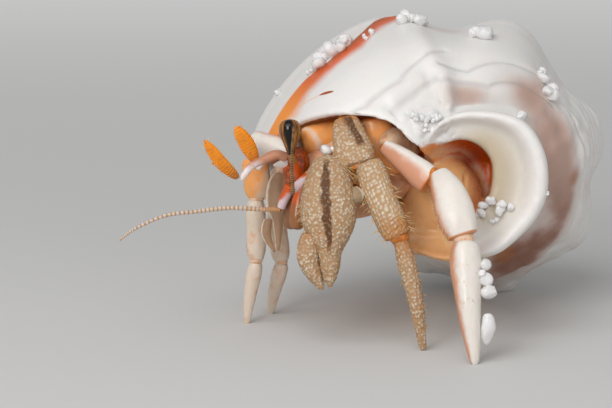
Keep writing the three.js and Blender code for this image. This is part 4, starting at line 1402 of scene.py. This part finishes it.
class HERMIT_OT_feelers(bpy.types.Operator):
    """Model the antennae, the antennules and the outer mouth limbs"""

    bl_idname = "hermit.feelers"
    bl_label = "Feelers"

    def execute(self, context):
        # The antennule stems' pale ends and the antenna stems' lilac ends and flank are painted highlights on
        # red and brown skin.
        arch = two_tone("antennule_arch", (0.52, 0.24, 0.14, 1), (0.80, 0.72, 0.70, 1), 0.72, 0.12)
        lilac = two_tone("antenna_stem_skin", "red", (0.72, 0.56, 0.58, 1), 0.42, 0.3)
        mouth = two_tone("mouth_skin", "red", (0.30, 0.12, 0.04, 1), 0.42, 0.1)
        foot = (0.5, 0.22, 0.06, 1)
        whip = ringed("pale_whip", (0.60, 0.58, 0.56, 1), (0.50, 0.27, 0.10, 1), 46, 0.45, foot=foot)
        dark_whip = ringed("dark_whip", (0.12, 0.06, 0.025, 1), (0.42, 0.24, 0.10, 1), 40, 0.5)
        far_blade = ringed("far_blade", "orange", (0.55, 0.22, 0.04, 1), 14, 0.3, 0.5, (0.45, 0.12, 0.03, 1))
        blade = ringed("orange_blade", "orange", (0.42, 0.14, 0.02, 1), 15, 0.4, 0.75, (0.40, 0.15, 0.04, 1))
        left = [[-18.66, 0.1, 4.2], [-18.69, 2.2, 5.5], [-18.5, 5.0, 8.5], [-18.2, 6.7, 11], [-18.0, 7.6, 13]]
        right = [
            [-20.3, -1.9, -0.6], [-22.5, -1.9, -0.9], [-26.1, -1.8, -1.1], [-29.6, -2.2, -0.8],
            [-33.2, -2.7, 0.2], [-36.6, -4.25, 1.2], [-38.05, -5.4, 1.9],
        ]
        for side, path, form, finish in (
            ("left", left, [[0, 0.24, 0.24], [0.3, 0.16, 0.16], [1, 0.06, 0.06]], dark_whip),
            ("right", right, [[0, 0.27, 0.27], [0.5, 0.23, 0.23], [1, 0.12, 0.12]], whip),
        ):
            limb = Limb(path, form, ends=0.01, detail=stepped(46, 0.05))
            limb_piece(f"{side}_antenna_whip", limb, finish, "feeler", f"antenna_{side}_flagellum", 14, 400)
        left_base = [[-16.4, 2.4, 1.2], [-17.6, 1.56, 2.4], [-18.6, 0.6, 3.6]]
        right_base = [[-19.3, 0.65, -0.2], [-19.9, -0.5, -0.4], [-20.3, -1.6, -0.6]]
        left_arch = [
            [-19.8, 3.9, 0.4], [-20.6, 4.2, 0.8], [-22.0, 3.7, 1.2], [-23.4, 3.0, 1.8], [-24.5, 1.6, 2.4],
        ]
        right_arch = [[-20.1, 3.9, -2.6], [-21.0, 4.2, -2.6], [-22.2, 3.8, -2.6], [-23.1, 2.6, -2.6]]
        left_jaw = [[-17.6, 0.7, 0.4], [-18.3, -1.6, 1.0], [-18.4, -3.8, 1.2]]
        right_jaw = [[-18.5, 0.4, -2.8], [-19.2, -1.8, -2.6], [-19.4, -4.0, -2.6]]
        for name, path, form, node, finish in (
            ("left_antenna_stem", left_base, STALK, "antenna_left_peduncle", lilac),
            ("right_antenna_stem", right_base, STALK, "antenna_right_peduncle", lilac),
            ("left_antennule_stem", left_arch, STEM, "antennule_left_peduncle", arch),
            ("right_antennule_stem", right_arch, STEM, "antennule_right_peduncle", arch),
            ("left_mouth_limb", left_jaw, segment(0.85, 0.75), "maxilliped_left", mouth),
            ("right_mouth_limb", right_jaw, segment(0.85, 0.75), "maxilliped_right", mouth),
        ):
            limb_piece(name, Limb(path, form, reach=(0.2, 0.2)), finish, "feeler", node, 32, 40)
        scale = Limb([[-19.6, 3.3, -1], [-21.3, 3.0, -1]], [[0, 0.5, 0.3], [0.5, 0.4, 0.3], [1, 0.08, 0.08]])
        white = plain("scale_white", (0.80, 0.74, 0.70, 1))
        kept(covered(scale.mesh("antenna_scale", 24, 30), white), "feeler")
        side = Limb([[-25.6, 2.9, 3.3], [-27.7, 3.3, 3.9]], [[0, 0.2, 0.2], [1, 0.07, 0.07]])
        pieces = [LEFT_BLADE.mesh("left_antennule_blade", 32, 160), side.mesh("left_side_whip", 10, 30)]
        both = joined("left_antennule_blade", pieces)
        kept(covered(both, blade), "feeler", "antennule_left_flagellum")
        node = "antennule_right_flagellum"
        limb_piece("right_antennule_blade", RIGHT_BLADE, far_blade, "feeler", node, 32, 160)
        return {"FINISHED"}


SHIELD = Limb(
    [[-18.5, 5.2, -3.6], [-16.2, 5.8, -4.4], [-13.2, 6.6, -6.6]],
    [[0, 0.9, 0.9], [0.15, 1.7, 1.6], [0.5, 2.3, 1.95], [0.85, 2.3, 1.8], [1, 1.6, 1.1]],
    facing=(-0.5, 1, 0.3), reach=(0.3, 0.8),
)
THORAX = Limb(
    [[-17.4, 0.9, -1.9], [-14.2, 0.9, -5], [-12.0, 2.8, -9.0], [-8.5, 8.0, -12.6], [-3, 10.6, -15.2]],
    [[0, 1.2, 1.2], [0.1, 1.9, 1.8], [0.3, 2.9, 2.6], [0.55, 3.4, 3.2], [0.8, 3.4, 3.4], [1, 2.2, 2.2]],
    facing=(0, 1, 0),
)
FACE = Limb(
    [
        [-18.7, 4.9, -2.4], [-18.8, 3.7, -1.7], [-18.7, 2.2, -1.4], [-18.9, 0.3, -1.6], [-19.2, -2.1, -1.9],
        [-19.4, -4, -2],
    ],
    [[0, 0.8, 0.7], [0.2, 1.4, 0.9], [0.4, 1.5, 1.0], [0.6, 1.3, 0.9], [0.8, 1.0, 0.8], [1, 0.4, 0.4]],
    detail=knobbly(0.12, (9, 3), 23),
)
# Soft skin round the base of the limbs, between the shield and the shell.
CHEEK = Limb(
    [[-18.4, 2.6, -3.2], [-16.0, 3.6, -3.6], [-12.4, 6.4, -5.8], [-8.0, 8.0, -8.4]],
    [[0, 0.9, 0.9], [0.3, 1.9, 1.8], [0.7, 2.4, 2.2], [1, 1.8, 1.8]], facing=(0, 1, 0),
)
BELLY = Limb(
    [[-16.4, -1.2, -2.8], [-13.2, -1.4, -3.4], [-10.4, -0.6, -3.8], [-8.2, 0.6, -4.4], [-6.2, 0.9, -5.4]],
    [[0, 0.9, 0.9], [0.3, 1.9, 1.7], [0.75, 1.9, 1.7], [1, 1.5, 1.2]], facing=(0, 1, 0),
)
ABDOMEN_FULLNESS = [0.6, 0.88, 0.98, 1, 1, 0.97, 0.92, 0.8, 0.5]  # from its front to its tip


def abdomen():
    rings = []
    fullness = smooth_rows([[f] for f in ABDOMEN_FULLNESS], 33)[:, 0]
    angle = np.linspace(0, 2 * np.pi, 40, endpoint=False)
    for full, degrees in zip(fullness, np.linspace(118, -12, len(fullness))):
        scale = whorl_scale(degrees)
        height = (34.5 + np.cos(angle) * 12.4 * full) * scale
        radius = (14.2 + np.sin(angle) * 6.2 * full) * scale
        rings.append(on_shell(degrees, height, radius))
    return loft("abdomen", placed(rings))


class HERMIT_OT_body(bpy.types.Operator):
    """Model the shield and the soft body"""

    bl_idname = "hermit.body"
    bl_label = "Body"

    def execute(self, context):
        flesh = soft_skin("soft_body", (0.70, 0.36, 0.2, 1), (0.48, 0.19, 0.08, 1), 0.5, 0.35, 1.5)
        limb_piece("carapace", SHIELD, shield_plate(), "soft_body", "carapace_shield", 64, 80)
        kept(covered(FACE.mesh("face", 64, 90), face_skin()), "soft_body")
        pieces = [THORAX.mesh("thorax"), CHEEK.mesh("cheek"), BELLY.mesh("belly"), abdomen()]
        body = fused("soft_body_skin", pieces, context.scene.hermit_shell.hollow_mesh)
        kept(covered(smooth(body), flesh), "soft_body", "thorax", "abdomen")
        return {"FINISHED"}


def joint_balls(name, finish, rows):
    """Balls of thin skin, from their middles and half sizes, as one piece."""
    balls = [ellipsoid("joint", place, radii) for place, radii in rows]
    kept(covered(joined(name, balls), finish), "soft_body")


class HERMIT_OT_joints(bpy.types.Operator):
    """Model the soft joints between the limb pieces"""

    bl_idname = "hermit.joints"
    bl_label = "Joints"

    def execute(self, context):
        skin = soft_skin("joint_skin", "joint", (0.30, 0.10, 0.02, 1), 0.5, 0.35, 0.6)
        rows = (
            ((-13.3, 8.2, -2.0), (0.9, 0.7, 0.9)),
            ((-11.3, 3.1, 1.5), (1.5, 0.7, 0.8)),
            ((-7.1, -4.5, 3.2), (1.15, 0.8, 0.95)),
            ((-8.8, 5.0, -0.6), (0.7, 0.7, 0.6)),
            ((-12.2, -0.1, 0.6), (0.75, 1.2, 0.8)),
            ((-3.4, 1.9, 2.7), (0.7, 1.25, 0.95)),
            ((-14.8, 4.4, 0.2), (0.9, 0.8, 0.9)),
        )
        joint_balls("limb_joints", skin, rows)
        pale = soft_skin("pale_joint_skin", (0.80, 0.54, 0.38, 1), (0.60, 0.32, 0.16, 1), 0.4, 0.35, 0.6)
        rows = (
            ((-0.1, -4.35, 6.2), (1.2, 0.85, 1.05)),
            ((-23.7, -1.1, -7.7), (0.9, 0.35, 0.75)),
            ((-23.7, -8.2, -7.6), (0.75, 0.4, 0.7)),
            ((-24.3, 4.3, -7.7), (0.9, 0.9, 0.7)),
            ((-21.9, -2.45, -12.3), (0.8, 0.4, 0.8)),
            ((-21.15, -8.6, -12.1), (0.75, 0.4, 0.7)),
            ((-20.6, 2.6, -11.75), (0.8, 0.8, 0.8)),
            ((-20.7, 2.4, -6.0), (0.8, 0.8, 0.8)),
        )
        joint_balls("pale_joints", pale, rows)
        return {"FINISHED"}


class HERMIT_OT_bristles(bpy.types.Operator):
    """Set bristles and small spines on the limbs"""

    bl_idname = "hermit.bristles"
    bl_label = "Bristles"

    def execute(self, context):
        gold = plain("bristle_gold", "bristle_colour", 0.35)
        amber = plain("bristle_amber", (0.62, 0.36, 0.14, 1), 0.35)
        pi, around = math.pi, (0, 2 * math.pi)
        palm, knee, shin, third = LEFT_PALM, LEG2_CARPUS, LEG2_PROPODUS, LEG3_PROPODUS
        # Each row: name, limb, how many, stretch along it, stretch round it, lengths, thickness
        # and seed.
        for name, limb, count, along, angle, size, thick, seed in (
            ("left_claw_edge_bristles", palm, 60, (0.15, 0.75), (pi - 0.3, pi + 0.4), (0.3, 0.65), 0.04, 1),
            ("left_claw_face_bristles", palm, 120, (0.08, 0.9), (0, pi), (0.15, 0.3), 0.035, 2),
            ("left_claw_wrist_bristles", palm, 14, (0.06, 0.22), (0.1, 0.7), (0.9, 1.6), 0.05, 3),
            ("left_leg2_bristles_outer", shin, 16, (0.08, 0.97), (-0.3, 0.3), (0.6, 1.2), 0.06, 4),
            ("left_leg2_bristles_inner", shin, 22, (0.1, 0.97), (pi - 0.35, pi + 0.35), (0.5, 1.1), 0.055, 5),
            ("left_leg2_bristles_face", shin, 60, (0.05, 0.97), (0.3, pi - 0.3), (0.15, 0.35), 0.04, 6),
            ("left_leg2_bristles_knee", knee, 46, (0.25, 0.98), around, (0.2, 0.5), 0.04, 7),
            (
                "left_leg2_bristles_knee_end", knee, 12, (0.8, 0.97), (pi - 0.8, pi + 0.2), (0.6, 1.1),
                0.05, 17,
            ),
            ("left_leg2_bristles_toe", LEG2_DACTYL, 90, (0.03, 0.8), around, (0.3, 0.7), 0.045, 8),
            ("left_leg3_bristles_inner", third, 26, (0.6, 0.99), (pi - 0.7, pi + 0.4), (0.4, 1.0), 0.045, 9),
            ("left_leg3_bristles_edge", third, 18, (0.1, 0.6), (pi - 0.3, pi + 0.3), (0.2, 0.5), 0.035, 19),
            ("left_leg3_bristles_toe", LEG3_DACTYL, 60, (0.05, 0.7), around, (0.1, 0.3), 0.035, 10),
            ("left_blade_bristles", LEFT_BLADE, 70, (0.1, 0.98), around, (0.35, 0.7), 0.028, 11),
            ("right_blade_bristles", RIGHT_BLADE, 40, (0.2, 0.98), around, (0.25, 0.5), 0.028, 12),
        ):
            piece = bristles(name, limb, count, along, angle, size, thick, seed)
            kept(covered(piece, amber if limb is LEG2_DACTYL else gold), "claw_plate")
        return {"FINISHED"}


# ---- Sand grains ----

# Groups of grains on the shell: their middle, how far they spread, how many, and their size.
SHELL_GRAINS = [
    (-16.8, 14.6, -11.9, 1.2, 9, 2.0),
    (-15.6, 15.8, -12.5, 1.2, 9, 2.3),
    (-14.4, 16.7, -13.4, 0.9, 5, 1.7),
    (-17.8, 13.4, -11.9, 0.5, 2, 0.9),
    (-11.2, 17.7, -12.9, 0.7, 4, 1.1),
    (-6.6, 18.9, -15.6, 0.9, 6, 2.0),
    (-5.2, 18.9, -16.3, 0.5, 2, 1.1),
    (1.2, 18.1, -13.6, 1.0, 6, 2.2),
    (2.6, 17.8, -14.2, 0.5, 2, 1.2),
    (8.6, 13.2, -13.4, 0.9, 4, 1.6),
    (9.3, 11.7, -12.8, 0.9, 4, 1.8),
    (-5.7, 8.7, -0.6, 0.5, 4, 0.9),
    (-4.4, 8.4, -1.0, 0.7, 6, 1.1),
    (-3.3, 8.2, -1.5, 0.6, 5, 1.2),
    (-4.4, 7.5, -0.6, 0.6, 4, 0.8),
    (6.1, 8.5, -8.2, 0.2, 1, 1.6),
    (-22.0, 10.8, -16.7, 0.6, 3, 0.8),
    (9.0, 0.2, -1.0, 0.5, 3, 0.6),
    (1.7, -0.9, -1.6, 0.3, 2, 1.2),
    (2.8, -0.9, -1.4, 0.5, 4, 1.2),
    (3.9, -1.6, -1.4, 0.6, 5, 1.2),
    (4.8, -1.5, -1.4, 0.4, 3, 1.0),
    (2.0, -2.4, -1.9, 0.5, 4, 1.1),
    (3.2, -2.9, -1.5, 0.4, 3, 0.9),
]
# Single grains beside the third leg and the claw: place, size and how tall they are for it.
LOOSE_GRAINS = [
    (2.3, -7.0, 7.5, 1.5, 1.0),
    (2.3, -8.7, 7.6, 1.6, 1.0),
    (2.7, -9.9, 7.8, 1.8, 1.0),
    (1.9, -8.0, 7.9, 1.0, 1.0),
    (2.6, -13.9, 8.2, 2.0, 1.7),
    (-15.3, 4.8, 1.2, 1.3, 1.3),
    (-14.6, 4.9, 1.0, 0.9, 1.0),
]


GRAIN_LIFT = 0.3  # how far a grain's middle stands out of the shell, as a share of its size
GRAIN_CUTS = 9  # flats worn on each grain
CUT_PLACE = 0.72  # how far from its middle a grain of radius 1 is worn flat
CUT_DEPTH = 0.85  # share of what stands past that place that is worn off


class HERMIT_OT_grains(bpy.types.Operator):
    """Stick sand grains to the shell, the third leg and the claw"""

    bl_idname = "hermit.grains"
    bl_label = "Sand grains"

    def execute(self, context):
        shell = bpy.data.objects["whelk_shell"]
        rng = np.random.default_rng(21)
        seats = [(placed([x, y, z]), size, tall) for x, y, z, size, tall in LOOSE_GRAINS]
        for x, y, z, spread, count, size in SHELL_GRAINS:
            for _ in range(count):
                near = placed([x, y, z]) + rng.normal(0, spread / 2, 3) * MM
                found, place, out, _ = shell.closest_point_on_mesh(Vector(near))
                if not found:
                    raise RuntimeError("a sand grain is off the shell")
                wide = size * rng.uniform(0.55, 1.0)
                seats.append((np.array(place) + np.array(out) * wide * GRAIN_LIFT * MM, wide, 1.0))
        grains = []
        for number, (place, size, tall) in enumerate(seats):
            deselect_all()
            bpy.ops.mesh.primitive_ico_sphere_add(subdivisions=3, radius=1)
            grain = context.active_object
            ball = points_of(grain)
            worn = ball.copy()
            for corner in unit(rng.normal(0, 1, (GRAIN_CUTS, 3))):
                over = np.maximum(worn @ corner - CUT_PLACE, 0)
                worn = worn - np.outer(over * CUT_DEPTH, corner)
            worn = worn * (1 + 0.06 * rough(ball, 2.2, number * 7.0))[:, None]
            worn = worn * rng.uniform(0.75, 1.0, 3) * (1, 1, tall) * size * 0.55 * MM
            set_points(grain, worn + place)
            grains.append(smooth(grain))
        kept(covered(joined("sand_grains", grains), sand_grain()), "shell")
        return {"FINISHED"}


# ---- The stage ----

FOCUS = Vector((-22.79, -27.67, 15.43)) * MM
CAMERA_DISTANCE = 260 * MM
LIT_PLACE = Vector((-10, -20, 14)) * MM
FLOOR_SIZE = 6  # metres
SKY_POWER = 0.36
# Each lamp's name, place in metres, power, size and colour.
LAMPS = (
    ("key", (-0.24, -0.50, 0.24), 0.95, 0.22, (1, 0.985, 0.96)),
    ("fill", (0.30, -0.48, 0.14), 0.45, 0.4, (1, 1, 1)),
    ("top", (-0.16, -0.26, 0.36), 0.9, 0.42, (1, 1, 1)),
)


def aimed(name, data, place, way):
    """A lamp or camera at a place, looking this way."""
    thing = bpy.data.objects.new(name, data)
    bpy.context.scene.collection.objects.link(thing)
    thing.location = place
    thing.rotation_euler = way.to_track_quat("-Z", "Y").to_euler()
    return thing


class HERMIT_OT_stage(bpy.types.Operator):
    """Set the floor, the lamps and the camera"""

    bl_idname = "hermit.stage"
    bl_label = "Stage"

    def execute(self, context):
        scene = context.scene
        deselect_all()
        bpy.ops.mesh.primitive_plane_add(size=FLOOR_SIZE)
        floor = context.active_object
        floor.name = "floor"
        paint = Paint("floor")
        parts = paint.node("ShaderNodeSeparateXYZ", Vector=paint.places())
        glow = paint.blend((0, 0, 0, 1), "backdrop", paint.step(Value(paint, parts.outputs["Y"]), 0.02, 0.5))
        paint.lay("floor")
        covered(floor, paint.finish(0.8, Emission_Color=glow, Emission_Strength=1.0))
        scene.world = bpy.data.worlds.new("daylight")
        scene.world.use_nodes = True
        sky = scene.world.node_tree.nodes["Background"].inputs
        sky["Color"].default_value = (1, 1, 1, 1)
        sky["Strength"].default_value = SKY_POWER
        for name, place, power, size, shade in LAMPS:
            data = bpy.data.lights.new(name, "AREA")
            data.shape = "DISK"
            data.energy = power
            data.size = size
            data.color = shade
            aimed(name, data, Vector(place), LIT_PLACE - Vector(place))
        settings = scene.hermit_stage
        data = bpy.data.cameras.new("camera")
        data.lens = settings.lens
        data.sensor_width = 36
        data.clip_start = 0.01
        back = Vector((0, -math.cos(settings.elevation), math.sin(settings.elevation)))
        scene.camera = aimed("camera", data, FOCUS + back * CAMERA_DISTANCE, -back)
        scene.view_settings.view_transform = "Standard"
        return {"FINISHED"}


# ---- The add-on ----

OPERATORS = (
    HERMIT_OT_shell,
    HERMIT_OT_body,
    HERMIT_OT_claws,
    HERMIT_OT_left_legs,
    HERMIT_OT_right_legs,
    HERMIT_OT_joints,
    HERMIT_OT_eyes,
    HERMIT_OT_feelers,
    HERMIT_OT_bristles,
    HERMIT_OT_grains,
    HERMIT_OT_stage,
)
SETTINGS = (("hermit_shell", ShellSettings), ("hermit_crab", CrabSettings), ("hermit_stage", StageSettings))


class HERMIT_PT_panel(bpy.types.Panel):
    """Sizes, colours and pieces of the hermit crab"""

    bl_idname = "HERMIT_PT_panel"
    bl_label = "Hermit Crab"
    bl_space_type = "VIEW_3D"
    bl_region_type = "UI"
    bl_category = "Hermit Crab"

    def draw(self, context):
        for name, group in SETTINGS:
            box = self.layout.box()
            for key in group.__annotations__:
                box.prop(getattr(context.scene, name), key)
        for operator in OPERATORS:
            self.layout.operator(operator.bl_idname)


def register():
    for name, group in SETTINGS:
        bpy.utils.register_class(group)
        setattr(bpy.types.Scene, name, bpy.props.PointerProperty(type=group))
    for kind in (*OPERATORS, HERMIT_PT_panel):
        bpy.utils.register_class(kind)


def unregister():
    for kind in (HERMIT_PT_panel, *reversed(OPERATORS)):
        bpy.utils.unregister_class(kind)
    for name, group in reversed(SETTINGS):
        delattr(bpy.types.Scene, name)
        bpy.utils.unregister_class(group)


def main():
    register()
    for operator in OPERATORS:
        call = operator.bl_idname.split(".")[1]
        getattr(bpy.ops.hermit, call)()
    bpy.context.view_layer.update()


if __name__ == "__main__":
    main()
